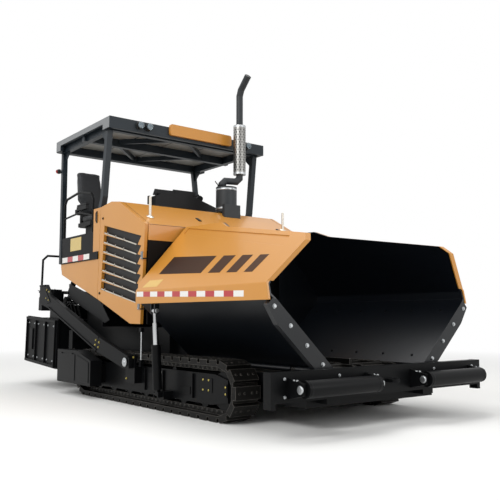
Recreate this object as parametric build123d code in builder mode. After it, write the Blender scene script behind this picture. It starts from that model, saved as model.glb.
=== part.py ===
from build123d import *
from math import atan, cos, degrees, pi, radians, sin, sqrt, tan
import os

# Tracked asphalt paver, modelled as separate named pieces at real size.
# Millimetres. +X points forward to the hopper, +Y to the machine's left, +Z up.
# The origin lies on the ground under the middle of the machine's length.
# The hopper wings stand half raised and the screed hangs in its transport locks.

os.makedirs("parts", exist_ok=True)

RIGHT, LEFT = -1, 1

# Tracks
shoe_radius = 300
shoe_width = 300
track_gap = 50
front_wheel_x = 2070
rear_wheel_x = -1000
shoe_pad_height = 38
shoe_pad_length = 128
shoe_plate = 26
chain_height = 48
chain_width = 130
shoes_per_run = 18
shoes_per_end = 5
wheel_clearance = 0.3

# Track frames
side_plate = 20
track_frame_gap = 7
bottom_rollers = 7
bottom_roller_radius = 75
top_roller_radius = 45
roller_sides = 12
end_wheel_sides = 24

# Main frame
frame_half_width = 900
track_inner_y = frame_half_width + track_gap
track_outer_y = track_inner_y + shoe_width
frame_plate = 30
belly_z = 200
belly_plate = 25
front_frame_top = 430
front_frame_end_x = 2960
tunnel_roof_z = 900
bulkhead_x = 565
panel_plate = 20
hood_front_x = bulkhead_x + panel_plate
firewall_x = -600
rear_frame_x = -1720
deck_under_z = 1780

# Conveyors
conveyor_floor_top = 519.7
conveyor_floor_plate = 30
conveyor_half_width = 600
conveyor_bed_half_width = 625
ledge_top = 485
conveyor_divider = 30
chain_loop_radius = 85
chain_strip = 25
chain_strip_width = 40
chain_flats = 4
conveyor_front_x = 2740
conveyor_rear_x = -1290
slat_pitch = 310
chain_axis_z = 460
slat_length = 45

# Body and hood
body_half_width = 1250
door_thickness = 40
door_gap = 7
firewall_half_width = body_half_width - door_thickness - door_gap
hood_top_z = 2457
hood_crest_x = -83
hood_crest_z = 2463
hood_front_top_z = 2115
hood_front_low_z = 1923
door_low_z = 942
door_lean = 85
door_seam_top_x = -598
door_seam_low_x = -655
door_seam_low_z = 1258
seam_gap = 6
louvre_count = 7
louvre_strip = 14
louvre_front_low_x = 405
louvre_front_top_x = 498
hinge_knuckles_z = (1153, 1741)
hinge_knuckle_radius = 12
hinge_knuckle_half = 30
hinge_arm = 12
hinge_pin_radius = 6

# Deck and roof
deck_top_z = 1880
deck_rear_x = -1870
roof_front_x = -341
roof_rear_x = -2130
roof_half_width = 1281
roof_top_z = 3626
roof_fascia = 154
roof_band = 80
lamp_radius = 52
lamp_sides = 24
post_size = 70
rail_y = body_half_width - 18
seat_y = 250 - body_half_width
rail_radius = 17
rail_sides = 12
rail_bend = 70
skirt_top_z = 2155

# Exhaust
silencer_x = -150
silencer_y = 450
silencer_radius = 148
silencer_low_z = 2490
silencer_top_z = 2850
stack_x = -107
stack_y = 650
stack_radius = 48
stack_sides = 32
stack_elbow_z = 2950
stack_bend_z = 4260
stack_bend_cut = 50
sleeve_radius = 88
sleeve_z = (3050, 3770)

# Hopper wings, at rest
wing_hinge_y = 680
wing_hinge_z = 520
wing_floor_angle = 42.6
wing_lean_angle = 48
wing_rear_x = 700
wing_front_x = front_frame_end_x + 100
wing_outer_y = 1420
wing_skirt_low_z = 1170
wing_fold_z = 1320
wing_plate = 20
wing_ridge_rear_z = 2110
wing_pin_radius = 10
hinge_brackets_x = (850, 1700, 2550)
hinge_bracket_half = 30
wing_flange = 12
wing_flange_depth = 30
wing_band_depth = 10
wing_beam_depth = 110

# Wing cylinders
wing_cylinder_x = 1080
wing_foot_y = track_outer_y + 90
wing_foot_z = 200
wing_eye_y = wing_outer_y - 30
wing_eye_z = 1090
wing_barrel_radius = 50
wing_barrel_length = 480
wing_barrel_start = 45
wing_barrel_plug = 10
wing_boss_radius = 26
wing_stage_radius = 30
wing_tip_radius = 20
wing_rod_start = 388
wing_rod_step = 760

# Push rollers
roller_axis_z = 420
roller_radius = 75
roller_inner_y = 350
roller_outer_y = 1250
bumper_rear_x = front_frame_end_x + 120
bumper_front_x = bumper_rear_x + 80
roller_axis_x = bumper_front_x + 160
tow_lug_x = bumper_front_x + 55
tow_lug_radius = 55
tow_lug_plate = 30
lug_bore_radius = 22

# Screed and tow arms
tow_point_x = 350
tow_point_z = 500
tow_arm_inner_y = track_outer_y + 50
tow_bracket_y = track_outer_y + 12
tow_arm_plate = 50
tow_pin_radius = 30
screed_front_x = -1870
screed_sole_z = 285
screed_tilt = 3
screed_half_width = 1250
crank_radius = 14
crank_z = 230
crank_reach = 1538.4

# Screed lift cylinders, with their pivots in X and Z
lift_y = 1050
lift_head = (-1790, 1640)
lift_eye = (-2070, 1290)
lift_pin_radius = 14
lift_barrel_radius = 40
lift_rod_radius = 22
lift_boss_radius = 34

# Side boxes
side_box_width = 158

# Augers
auger_pin_radius = 20
auger_x = -1575
auger_z = 420
auger_radius = 185
auger_half_length = 1180
auger_turns = 3
flights_per_turn = 8
flight_thickness = 12

wheel_z = shoe_radius


def outline(plane, points):
    with BuildSketch(plane) as sketch:
        with BuildLine():
            Polyline(*points, close=True)
        make_face()
    return sketch.sketch


def along_y(points, y_low, y_high, mode=Mode.ADD):
    # Profile in X and Z, from y_low to y_high.
    extrude(outline(Plane.XZ.offset(-y_high), points), amount=y_high - y_low, mode=mode)


def along_x(points, x_low, x_high, mode=Mode.ADD):
    # Profile in Y and Z, from x_low to x_high.
    extrude(outline(Plane.YZ.offset(x_low), points), amount=x_high - x_low, mode=mode)


def block(x_span, y_span, z_span, mode=Mode.ADD):
    centre = [(low + high) / 2 for low, high in (x_span, y_span, z_span)]
    size = [abs(high - low) for low, high in (x_span, y_span, z_span)]
    with Locations(tuple(centre)):
        Box(*size, mode=mode)


def rod_y(x, z, radius, y_low, y_high, mode=Mode.ADD):
    with BuildSketch(Plane.XZ.offset(-y_high)) as circle:
        with Locations((x, z)):
            Circle(radius)
    extrude(circle.sketch, amount=y_high - y_low, mode=mode)


def rod_x(y, z, radius, x_low, x_high, mode=Mode.ADD):
    with BuildSketch(Plane.YZ.offset(x_low)) as circle:
        with Locations((y, z)):
            Circle(radius)
    extrude(circle.sketch, amount=x_high - x_low, mode=mode)


def rod_between(start, end, radius, mode=Mode.ADD):
    direction = Vector(*end) - Vector(*start)
    with BuildSketch(Plane(origin=start, z_dir=direction)) as circle:
        Circle(radius)
    extrude(circle.sketch, amount=direction.length, mode=mode)


def prism_y(x, z, radius, sides, y_low, y_high):
    with BuildSketch(Plane.XZ.offset(-y_high)) as polygon:
        with Locations((x, z)):
            RegularPolygon(radius, sides)
    extrude(polygon.sketch, amount=y_high - y_low)


def tube_path(points, radius, sides, bend):
    # Bar along the points, each corner cut at the distance 'bend' from its point.
    corners = [Vector(*point) for point in points]
    route = [corners[0]]
    for before, corner, after in zip(corners, corners[1:], corners[2:]):
        route.append(corner + (before - corner).normalized() * bend)
        route.append(corner + (after - corner).normalized() * bend)
    route.append(corners[-1])
    with BuildLine() as path:
        Polyline(*route)
    with BuildSketch(Plane(origin=route[0], z_dir=route[1] - route[0])) as section:
        RegularPolygon(radius, sides)
    sweep(section.sketch, path=path.line, transition=Transition.RIGHT)


def leaning_post(foot, head, size):
    # Square post with level ends.
    with BuildSketch(Plane.XY.offset(foot[2])) as section:
        with Locations(foot[:2]):
            Rectangle(size, size)
    lean = Vector(*head) - Vector(*foot)
    extrude(section.sketch, amount=lean.length, dir=lean.normalized())


def span(side, inner, outer):
    return sorted((side * inner, side * outer))


def save(part, name):
    part.label = name
    export_step(part, f"parts/{name}.step")


# ---- Tracks ----

def track_loop(radius):
    # Straight runs, with one flat for each shoe round the end wheels.
    points = []
    for wheel_x, first_angle in ((front_wheel_x, -90), (rear_wheel_x, 90)):
        for number in range(shoes_per_end + 1):
            angle = radians(first_angle + number * 180 / shoes_per_end)
            points.append((wheel_x + radius * cos(angle), wheel_z + radius * sin(angle)))
    return points


def make_track(side):
    plate_radius = shoe_radius - shoe_pad_height
    chain_radius = plate_radius - shoe_plate
    wheel_base = front_wheel_x - rear_wheel_x
    middle = ((front_wheel_x + rear_wheel_x) / 2, wheel_z)
    bite = 12
    pad_radius = (shoe_radius + plate_radius - bite) / 2
    pad_height = shoe_pad_height + bite
    end_drop = shoe_radius - sqrt(shoe_radius**2 - (shoe_pad_length / 2) ** 2)
    low_y, high_y = span(side, track_inner_y, track_inner_y + shoe_width)
    chain_high = (low_y + high_y + chain_width) / 2
    with BuildPart() as track:
        with BuildSketch(Plane.XZ.offset(-high_y)) as shoes:
            with BuildLine():
                Polyline(*track_loop(plate_radius), close=True)
            make_face()
            with Locations(middle):
                with GridLocations(wheel_base / shoes_per_run, 2 * pad_radius, shoes_per_run, 2):
                    Rectangle(shoe_pad_length, pad_height)
            end_step = 180 / shoes_per_end
            for wheel_x, first_angle in ((front_wheel_x, -90), (rear_wheel_x, 90)):
                with Locations((wheel_x, wheel_z)):
                    with PolarLocations(pad_radius - end_drop, shoes_per_end,
                                        start_angle=first_angle + end_step / 2,
                                        angular_range=180 - end_step, endpoint=True):
                        Rectangle(pad_height, shoe_pad_length)
            with BuildLine():
                Polyline(*track_loop(chain_radius), close=True)
            make_face(mode=Mode.SUBTRACT)
        extrude(shoes.sketch, amount=shoe_width)
        with BuildSketch(Plane.XZ.offset(-chain_high)) as chain:
            with BuildLine():
                Polyline(*track_loop(chain_radius), close=True)
            make_face()
            with Locations(middle):
                SlotCenterToCenter(wheel_base, 2 * (chain_radius - chain_height), mode=Mode.SUBTRACT)
        extrude(chain.sketch, amount=chain_width)
    return track.part


def track_middle_y():
    return track_inner_y + shoe_width / 2


def track_frame_outer_y():
    return track_middle_y() + chain_width / 2 + track_frame_gap + side_plate


def chain_inside():
    return shoe_radius - shoe_pad_height - shoe_plate - chain_height


def make_track_wheels():
    y_low = track_middle_y() - chain_width / 2 - track_frame_gap + wheel_clearance
    y_high = 2 * track_middle_y() - y_low
    rim = chain_inside() - wheel_clearance
    roller_z = wheel_z - rim + bottom_roller_radius
    top_z = wheel_z + rim - top_roller_radius
    first_x = rear_wheel_x + 330
    last_x = front_wheel_x - 330
    step = (last_x - first_x) / (bottom_rollers - 1)
    with BuildPart() as wheels:
        for wheel_x in (front_wheel_x, rear_wheel_x):
            prism_y(wheel_x, wheel_z, rim, end_wheel_sides, y_low, y_high)
        for number in range(bottom_rollers):
            prism_y(first_x + number * step, roller_z, bottom_roller_radius, roller_sides, y_low, y_high)
        for roller_x in (100, 1150):
            prism_y(roller_x, top_z, top_roller_radius, roller_sides, y_low, y_high)
        mirror(about=Plane.XZ)
    return wheels.part


def make_track_frames():
    inner_face = track_middle_y() - chain_width / 2 - track_frame_gap
    outer_face = 2 * track_middle_y() - inner_face
    plate_profile = [
        (rear_wheel_x - 90, 190), (rear_wheel_x - 90, 410), (rear_wheel_x + 120, 455),
        (front_wheel_x - 120, 455), (front_wheel_x + 90, 410), (front_wheel_x + 90, 190),
        (front_wheel_x - 200, 150), (rear_wheel_x + 200, 150)]
    with BuildPart() as frames:
        along_y(plate_profile, inner_face - side_plate, inner_face)
        along_y(plate_profile, outer_face, outer_face + side_plate)
        for web_x in (260, 1310):
            block((web_x - 25, web_x + 25), (inner_face, outer_face), (300, 395))
        for link_x in (-450, 900, 1750):
            block((link_x - 80, link_x + 80), (frame_half_width, inner_face - side_plate), (230, 400))
        # Foot of the wing cylinder, two ears on a plate.
        foot_inner = outer_face + side_plate
        foot_outer = wing_foot_y - 32
        block((wing_cylinder_x - 70, wing_cylinder_x + 70), (foot_inner, foot_outer), (140, 225))
        for ear_x in (wing_cylinder_x - 50, wing_cylinder_x + 35):
            block((ear_x, ear_x + 15), (foot_outer, wing_foot_y + 25), (165, 220))
        # Tow point bracket with its pin.
        block((240, 460), (foot_inner, tow_bracket_y), (260, 460))
        along_y([(240, 260), (240, 590), (460, 590), (460, 260)], tow_bracket_y,
                tow_arm_inner_y - 10)
        rod_y(tow_point_x, tow_point_z, tow_pin_radius, tow_arm_inner_y - 10,
              tow_arm_inner_y + tow_arm_plate + 10)
        mirror(about=Plane.XZ)
    return frames.part


# ---- Main frame, conveyors ----

def make_main_frame():
    side_profile = [
        (front_frame_end_x, belly_z), (front_frame_end_x, front_frame_top),
        (front_frame_end_x - 100, 480),
        (bulkhead_x, 480), (bulkhead_x, tunnel_roof_z), (firewall_x, tunnel_roof_z),
        (-700, deck_under_z), (rear_frame_x, deck_under_z), (rear_frame_x, 640),
        (-1340, 640), (-1340, belly_z)]
    inner = frame_half_width - frame_plate
    with BuildPart() as frame:
        along_y(side_profile, inner, frame_half_width)
        mirror(about=Plane.XZ)
        block((-1340, front_frame_end_x), (-inner, inner), (belly_z, belly_z + belly_plate))
        block((front_frame_end_x - 80, front_frame_end_x), (-inner, inner), (belly_z + belly_plate, 400))
        block((rear_frame_x, bulkhead_x), (-inner, inner), (tunnel_roof_z - 25, tunnel_roof_z))
        block((rear_frame_x, rear_frame_x + 30), (-inner, inner), (tunnel_roof_z, deck_under_z))
        # Lashing eyes on the rear plate.
        for side in (RIGHT, LEFT):
            low, high = span(side, 585, 615)
            block((rear_frame_x - 65, rear_frame_x), (low, high), (910, 1010))
            rod_y(rear_frame_x - 32, 960, lug_bore_radius, low, high, mode=Mode.SUBTRACT)
    return frame.part


def make_auger_hanger():
    # Chain case between the augers, end bearings and the beams that hold them.
    inner = frame_half_width - frame_plate
    hanger_top = tunnel_roof_z - 25
    with BuildPart() as hanger:
        block((auger_x - 40, auger_x + 40), (-30, 30), (auger_z + 80, hanger_top))
        block((auger_x - 70, auger_x + 70), (-60, 60), (auger_z - 80, auger_z + 80))
        for side in (RIGHT, LEFT):
            block((auger_x - 60, auger_x + 60),
                  span(side, auger_half_length + 6, auger_half_length + 26), (auger_z - 60, 840))
            block((auger_x - 60, auger_x + 60),
                  span(side, frame_half_width, auger_half_length + 26), (740, 840))
        rod_y(auger_x, auger_z, auger_pin_radius + 0.4, -1300, 1300, mode=Mode.SUBTRACT)
    return hanger.part


def make_conveyor_floor():
    floor_low = conveyor_floor_top - conveyor_floor_plate
    frame_inner = frame_half_width - frame_plate
    with BuildPart() as floor:
        bed_x = (conveyor_rear_x + 95, conveyor_front_x - 95)
        block(bed_x, (-conveyor_bed_half_width, conveyor_bed_half_width),
              (floor_low, conveyor_floor_top))
        for side in (RIGHT, LEFT):
            block(bed_x, span(side, conveyor_half_width, conveyor_bed_half_width),
                  (ledge_top - conveyor_floor_plate, floor_low))
            block(bed_x, span(side, conveyor_bed_half_width, frame_inner),
                  (ledge_top - conveyor_floor_plate, ledge_top))
        block((conveyor_rear_x + 95, conveyor_front_x - 95),
              (-conveyor_divider / 2, conveyor_divider / 2), (conveyor_floor_top, 600))
        # Brackets of the wing hinges.
        for side in (RIGHT, LEFT):
            for bracket_x in hinge_brackets_x:
                rear_face = bracket_x - hinge_bracket_half
                front_face = bracket_x + hinge_bracket_half
                low, high = span(side, wing_hinge_y - 18, wing_hinge_y + 18)
                block((rear_face, front_face), (low, high), (ledge_top, wing_hinge_z))
                with BuildSketch(Plane.YZ.offset(rear_face)) as knuckle:
                    with Locations((side * wing_hinge_y, wing_hinge_z)):
                        RegularPolygon(19.4, 8)
                extrude(knuckle.sketch, amount=2 * hinge_bracket_half)
                rod_x(side * wing_hinge_y, wing_hinge_z, wing_pin_radius + 0.3, rear_face, front_face,
                      mode=Mode.SUBTRACT)
    return floor.part


def conveyor_loop(radius):
    # Straight runs with flats round the end wheels.
    points = []
    for wheel_x, first_angle in ((conveyor_front_x, -90), (conveyor_rear_x, 90)):
        for number in range(chain_flats + 1):
            angle = radians(first_angle + number * 180 / chain_flats)
            points.append((wheel_x + radius * cos(angle), chain_axis_z + radius * sin(angle)))
    return points


def make_conveyor_chains():
    length = conveyor_front_x - conveyor_rear_x
    middle = ((conveyor_front_x + conveyor_rear_x) / 2, chain_axis_z)
    slat_count = int(length // slat_pitch)
    inside = chain_loop_radius - chain_strip
    with BuildPart() as chains:
        for strip_y in (60, conveyor_half_width - 60):
            with BuildSketch(Plane.XZ.offset(-(strip_y + chain_strip_width / 2))) as loop:
                with BuildLine():
                    Polyline(*conveyor_loop(chain_loop_radius), close=True)
                make_face()
                with BuildLine():
                    Polyline(*conveyor_loop(inside), close=True)
                make_face(mode=Mode.SUBTRACT)
            extrude(loop.sketch, amount=chain_strip_width)
            for wheel_x in (conveyor_front_x, conveyor_rear_x):
                prism_y(wheel_x, chain_axis_z, inside, 2 * chain_flats, strip_y - 15, strip_y + 15)
        for wheel_x in (conveyor_front_x, conveyor_rear_x):
            prism_y(wheel_x, chain_axis_z, 25, roller_sides, 20, frame_half_width - frame_plate)
        with BuildSketch(Plane.XZ.offset(-(conveyor_half_width - 80))) as slats:
            with Locations(middle):
                with GridLocations(slat_pitch, 2 * chain_loop_radius - chain_strip, slat_count, 2):
                    Rectangle(slat_length, chain_strip)
        extrude(slats.sketch, amount=conveyor_half_width - 140)
        mirror(about=Plane.XZ)
    return chains.part


def door_axis_x(z):
    return hood_front_x - door_lean * (hood_front_top_z - z) / (hood_front_top_z - door_low_z)


def door_axis(side, z):
    return (door_axis_x(z), side * body_half_width, z)


def make_bulkheads():
    # Upright walls before and behind the engine.
    half = [(0, tunnel_roof_z), (conveyor_half_width + 30, tunnel_roof_z),
            (conveyor_half_width + 30, 545), (frame_half_width, 545),
            (frame_half_width, tunnel_roof_z), (firewall_half_width, door_low_z),
            (firewall_half_width, hood_front_low_z), (0, hood_front_low_z)]
    with BuildPart() as walls:
        along_x(half, bulkhead_x, bulkhead_x + panel_plate)
        mirror(about=Plane.XZ)
        block((firewall_x, firewall_x + panel_plate), (-firewall_half_width, firewall_half_width),
              (tunnel_roof_z, hood_front_low_z))
        # Lower side plates behind the tow arms.
        lower_side = [(-1684, 1494), (-1671, 1294), (-517, 947), (-388, 986), (-678, 1245)]
        along_y(lower_side, firewall_half_width - 18, firewall_half_width)
        along_y(lower_side, -firewall_half_width, -firewall_half_width + 18)
        # Arms and pins of the louvre doors' hinges.
        for side in (RIGHT, LEFT):
            for knuckle_z in hinge_knuckles_z:
                arm_top = knuckle_z - hinge_knuckle_half - 1.6
                pin_x, edge_y = door_axis_x(arm_top), side * body_half_width
                wall_y = side * (firewall_half_width - 13)
                arm = outline(Plane.XY.offset(arm_top - hinge_arm), [
                    (pin_x - 5, edge_y - side * 3), (pin_x + 5, edge_y + side * 3),
                    (hood_front_x, wall_y + side * 12), (bulkhead_x, wall_y),
                    (pin_x + 3, edge_y - side * 12)])
                extrude(arm, amount=hinge_arm)
                rod_between(door_axis(side, arm_top - hinge_arm),
                            door_axis(side, knuckle_z + hinge_knuckle_half - 5), hinge_pin_radius)
    return walls.part


def make_engine():
    with BuildPart() as engine:
        block((-420, 420), (-430, 430), (tunnel_roof_z, 1850))
    return engine.part


# ---- Body ----

def hood_profile(inset):
    return [
        (hood_front_x - inset, hood_front_low_z), (hood_front_x - inset, hood_front_top_z - inset / 2),
        (hood_crest_x - inset / 4, hood_crest_z - inset), (-296, 2480 - inset),
        (firewall_x + inset, hood_top_z - inset), (firewall_x + inset, hood_front_low_z)]


def make_hood():
    half = body_half_width - door_thickness - door_gap
    with BuildPart() as hood:
        along_y(hood_profile(0), -half, half)
        along_y(hood_profile(panel_plate), -half + panel_plate, half - panel_plate, mode=Mode.SUBTRACT)
        along_y([(-480, hood_front_low_z), (-480, 2300), (-100, 2300), (440, 2000),
                 (440, hood_front_low_z)], -half, half, mode=Mode.SUBTRACT)
        with Locations((silencer_x, silencer_y, hood_top_z)):
            Cylinder(64, 100, mode=Mode.SUBTRACT)
    return hood.part


def make_louvre_door(side):
    low, high = span(side, body_half_width - door_thickness, body_half_width)
    door_outline = [
        (door_axis_x(hood_front_top_z), hood_front_top_z), (hood_crest_x, hood_crest_z),
        (-296, 2492), (door_seam_top_x, 2457),
        (door_seam_low_x, door_seam_low_z), (250, 945), (door_axis_x(door_low_z), door_low_z)]
    rear_low, rear_top = (-559, 1377), (-489, 2217)
    front_low_z, front_top_z = 1182, 1990
    rise = (rear_top[1] - rear_low[1]) / louvre_count
    front_rise = (front_top_z - front_low_z) / louvre_count
    rear_step = (rear_top[0] - rear_low[0]) / louvre_count
    with BuildPart() as door:
        along_y(door_outline, low, high)
        # Slots between thin strips; the front edge of the row is a saw-tooth.
        for number in range(louvre_count):
            rear_x = rear_low[0] + number * rear_step
            rear_z = rear_low[1] + number * rise
            front_z = front_low_z + number * front_rise
            along_y([(rear_x, rear_z), (rear_x + rear_step, rear_z + rise - louvre_strip),
                     (louvre_front_top_x, front_z + front_rise - louvre_strip),
                     (louvre_front_low_x, front_z)], low, high, mode=Mode.SUBTRACT)
        for knuckle_z in hinge_knuckles_z:
            low_z, high_z = knuckle_z - hinge_knuckle_half, knuckle_z + hinge_knuckle_half
            rod_between(door_axis(side, low_z), door_axis(side, high_z), hinge_knuckle_radius)
            rod_between(door_axis(side, low_z - hinge_arm - 6), door_axis(side, low_z),
                        hinge_knuckle_radius + 1, mode=Mode.SUBTRACT)
            rod_between(door_axis(side, low_z), door_axis(side, high_z - 4), hinge_pin_radius + 0.3,
                        mode=Mode.SUBTRACT)
    return door.part


def make_side_panels():
    profile = [
        (door_seam_low_x - seam_gap, door_seam_low_z), (-1840, 1630), (-1880, 1740),
        (-1880, deck_under_z), (-820, deck_under_z), (-820, hood_top_z),
        (door_seam_top_x - seam_gap, hood_top_z)]
    with BuildPart() as panels:
        along_y(profile, body_half_width - door_thickness, body_half_width)
        mirror(about=Plane.XZ)
    return panels.part


def make_deck():
    inner = body_half_width - door_thickness
    with BuildPart() as deck:
        narrow_x = door_seam_low_x - seam_gap
        block((deck_rear_x, narrow_x), (-inner, inner), (deck_under_z, deck_top_z))
        block((narrow_x, firewall_x), (-firewall_half_width, firewall_half_width),
              (deck_under_z, deck_top_z))
        # Ears and pins that carry the screed's lift cylinders.
        for ear_y in (lift_y - 42, lift_y + 27):
            block((lift_head[0] - 40, lift_head[0] + 40), (ear_y, ear_y + 15),
                  (lift_head[1] - 35, deck_under_z))
            block((lift_head[0] - 40, lift_head[0] + 40), (-ear_y - 15, -ear_y),
                  (lift_head[1] - 35, deck_under_z))
        rod_y(lift_head[0], lift_head[1], lift_pin_radius, lift_y - 42, lift_y + 42)
        rod_y(lift_head[0], lift_head[1], lift_pin_radius, -lift_y - 42, -lift_y + 42)
    return deck.part


def make_deck_skirts():
    with BuildPart() as skirts:
        block((-1860, -825), (body_half_width - 35, body_half_width), (deck_under_z, skirt_top_z))
        block((deck_rear_x, -650), (body_half_width, body_half_width + 14), (deck_under_z, deck_top_z))
        mirror(about=Plane.XZ)
    return skirts.part


def make_console():
    panel = [(-430, 2570), (-430, 2705), (-290, 2765), (70, 2800), (330, 2715), (600, 2630),
             (600, 2570)]
    with BuildPart() as console:
        along_x(panel, -760, -606)
        block((-730, -640), (-60, 160), (deck_top_z, 2570))
    return console.part


def make_seat_base():
    with BuildPart() as seat:
        block((-1500, -1100), (seat_y - 170, seat_y + 170), (2290, 2345))
        block((-1400, -1180), (seat_y - 100, seat_y + 100), (deck_top_z, 2290))
        block((-1540, -1490), (seat_y - 130, seat_y + 130), (2290, 2700))
        for arm_y in (seat_y - 205, seat_y + 155):
            block((-1540, -1490), (arm_y, arm_y + 50), (2500, 2545))
            block((-1490, -1180), (arm_y, arm_y + 50), (2520, 2575))
        block((-1540, -1490), (seat_y - 205, seat_y + 205), (2470, 2500))
    return seat.part


def make_seat_cushions():
    with BuildPart() as cushions:
        block((-1450, -1050), (seat_y - 150, seat_y + 150), (2345.3, 2455))
        along_y([(-1489.7, 2460), (-1489.7, 2700.3), (-1600, 2700.3), (-1630, 3120), (-1510, 3120),
                 (-1400, 2580), (-1400, 2460)], seat_y - 150, seat_y + 150)
    return cushions.part


def make_handrails():
    with BuildPart() as rails:
        tube_path([(-1838, rail_y, skirt_top_z), (-1838, rail_y, 2710), (-1330, rail_y, 2765),
                   (-873, rail_y, 2680), (-873, rail_y, skirt_top_z)], rail_radius, rail_sides, rail_bend)
        tube_path([(-1838, rail_y, 2440), (-1310, rail_y, 2475), (-873, rail_y, 2385)], 13, rail_sides, 10)
        mirror(about=Plane.XZ)
    return rails.part


def make_roof_posts():
    roof_low = roof_top_z - roof_fascia
    front = [(-700, hood_top_z + 0.3), (-610, hood_top_z + 0.3), (-566, 2600), (-460, roof_low),
             (-540, roof_low), (-640, 2600)]
    front_gusset = [(-535, roof_low), (-700, roof_low), (-700, roof_low - 25), (-548, roof_low - 160)]
    rear_foot = (-1907, body_half_width - 25, 1870)
    rear_head = (-2090, body_half_width - 95, roof_low)
    rear_gusset = [(-2070, roof_low), (-1900, roof_low), (-1900, roof_low - 25), (-2050, roof_low - 160)]
    with BuildPart() as posts:
        along_y(front, body_half_width - 80, body_half_width - 5)
        along_y(front_gusset, body_half_width - 50, body_half_width - 38)
        block((-1942, deck_rear_x - 0.3), (body_half_width - 60, body_half_width + 10), (1790, 1880))
        leaning_post(rear_foot, rear_head, post_size)
        along_y(rear_gusset, body_half_width - 101, body_half_width - 89)
        mirror(about=Plane.XZ)
    return posts.part


def make_roof_top():
    # Panel over three cross-beams, two long beams and two diagonal braces.
    beam_low, beam_top = roof_top_z - roof_fascia, roof_top_z - 40
    half = roof_half_width - 40
    with BuildPart() as roof:
        block((roof_rear_x + 40, roof_front_x - 40), (-half, half), (beam_top, roof_top_z - 10))
        for beam_x in (-2050, -1240, -500):
            block((beam_x - 40, beam_x + 40), (-half, half), (beam_low, beam_top))
        for side in (RIGHT, LEFT):
            block((-2090, -460), span(side, roof_half_width - 161, roof_half_width - 81),
                  (beam_low, beam_top))
            for start, end in (((-1200, side * 700), (-540, side * 40)),
                               ((-2010, side * 40), (-1280, side * 700))):
                middle = ((start[0] + end[0]) / 2, (start[1] + end[1]) / 2, (beam_low + beam_top) / 2 + 20)
                along = Vector(end[0] - start[0], end[1] - start[1], 0)
                with Locations(Plane(origin=middle, x_dir=along, z_dir=(0, 0, 1))):
                    Box(along.length, 40, beam_top - beam_low - 40)
    return roof.part


def make_roof_rim():
    with BuildPart() as rim:
        block((roof_rear_x, roof_front_x), (-roof_half_width, roof_half_width),
              (roof_top_z - roof_fascia, roof_top_z))
        block((roof_rear_x + 40, roof_front_x - 40), (-roof_half_width + 40, roof_half_width - 40),
              (roof_top_z - roof_fascia, roof_top_z), mode=Mode.SUBTRACT)
        # Between the corner blocks the side is only a thin band.
        block((roof_rear_x + 190, roof_front_x - 190), (-roof_half_width, roof_half_width),
              (roof_top_z - roof_fascia, roof_top_z - roof_band), mode=Mode.SUBTRACT)
        rear_corners = rim.edges().filter_by(Axis.Z)
        rear_corners = rear_corners.filter_by_position(Axis.X, roof_rear_x - 1, roof_rear_x + 1)
        chamfer(rear_corners, 30)
    return rim.part


def make_roof_visor():
    with BuildPart() as visor:
        block((roof_front_x, roof_front_x + 40), (-390, 650), (3510, 3665))
        fillet(visor.edges().filter_by(Axis.X), 35)
    return visor.part


def make_roof_lamps():
    with BuildPart() as lamps:
        for lamp_y in (-850, -715, 820, 955):
            with BuildSketch(Plane.YZ.offset(roof_front_x)) as lamp:
                with Locations((lamp_y, 3560)):
                    RegularPolygon(lamp_radius, lamp_sides)
            extrude(lamp.sketch, amount=45)
    return lamps.part


def rod_z(x, y, radius, z_low, z_high, mode=Mode.ADD):
    with BuildSketch(Plane.XY.offset(z_low)) as circle:
        with Locations((x, y)):
            Circle(radius)
    extrude(circle.sketch, amount=z_high - z_low, mode=mode)


def make_exhaust():
    # Silencer standing on the engine, the crooked pipe, its stack and the raked tip.
    with BuildPart() as exhaust:
        rod_z(silencer_x, silencer_y, 60, 1850.3, silencer_low_z)
        rod_z(silencer_x, silencer_y, silencer_radius, silencer_low_z, silencer_top_z)
        tube_path([(silencer_x - 40, silencer_y - 50, silencer_top_z - 5),
                   (silencer_x - 40, silencer_y - 50, stack_elbow_z),
                   (stack_x, stack_y, stack_elbow_z), (stack_x, stack_y, stack_bend_z),
                   (stack_x + 200, stack_y, stack_bend_z + 200)], stack_radius, stack_sides, stack_bend_cut)
        # Air cleaner box on the hood.
        along_y([(5, 2418), (60, 2389), (60, 2575), (5, 2575)], 270, 540)
    return exhaust.part


def make_exhaust_sleeve():
    with BuildPart() as sleeve:
        rod_z(stack_x, stack_y, sleeve_radius, *sleeve_z)
        rod_z(stack_x, stack_y, stack_radius + 0.3, *sleeve_z, mode=Mode.SUBTRACT)
    return sleeve.part


def make_side_boxes():
    with BuildPart() as boxes:
        along_y([(-1500, 160), (-450, 160), (-450, 480), (-900, 590), (-1500, 590)], tow_bracket_y,
                tow_bracket_y + side_box_width)
        block((-900, -500), (track_frame_outer_y(), tow_bracket_y), (200, 420))
        mirror(about=Plane.XZ)
    return boxes.part


# ---- Hopper wings ----

floor_cos = cos(radians(wing_floor_angle))
floor_sin = sin(radians(wing_floor_angle))


def on_wing_floor(along, above):
    # A point of the wing's sloping floor: along it from the hinge, and square above that line.
    return (wing_hinge_y + along * floor_cos - above * floor_sin,
            wing_hinge_z + along * floor_sin + above * floor_cos)


def fold_inner():
    return (wing_outer_y - wing_plate, wing_fold_z - 8)


def ridge_inner():
    rise = wing_ridge_rear_z + 40 - fold_inner()[1]
    return (fold_inner()[0] - rise / tan(radians(wing_lean_angle)), wing_ridge_rear_z + 40)


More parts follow.
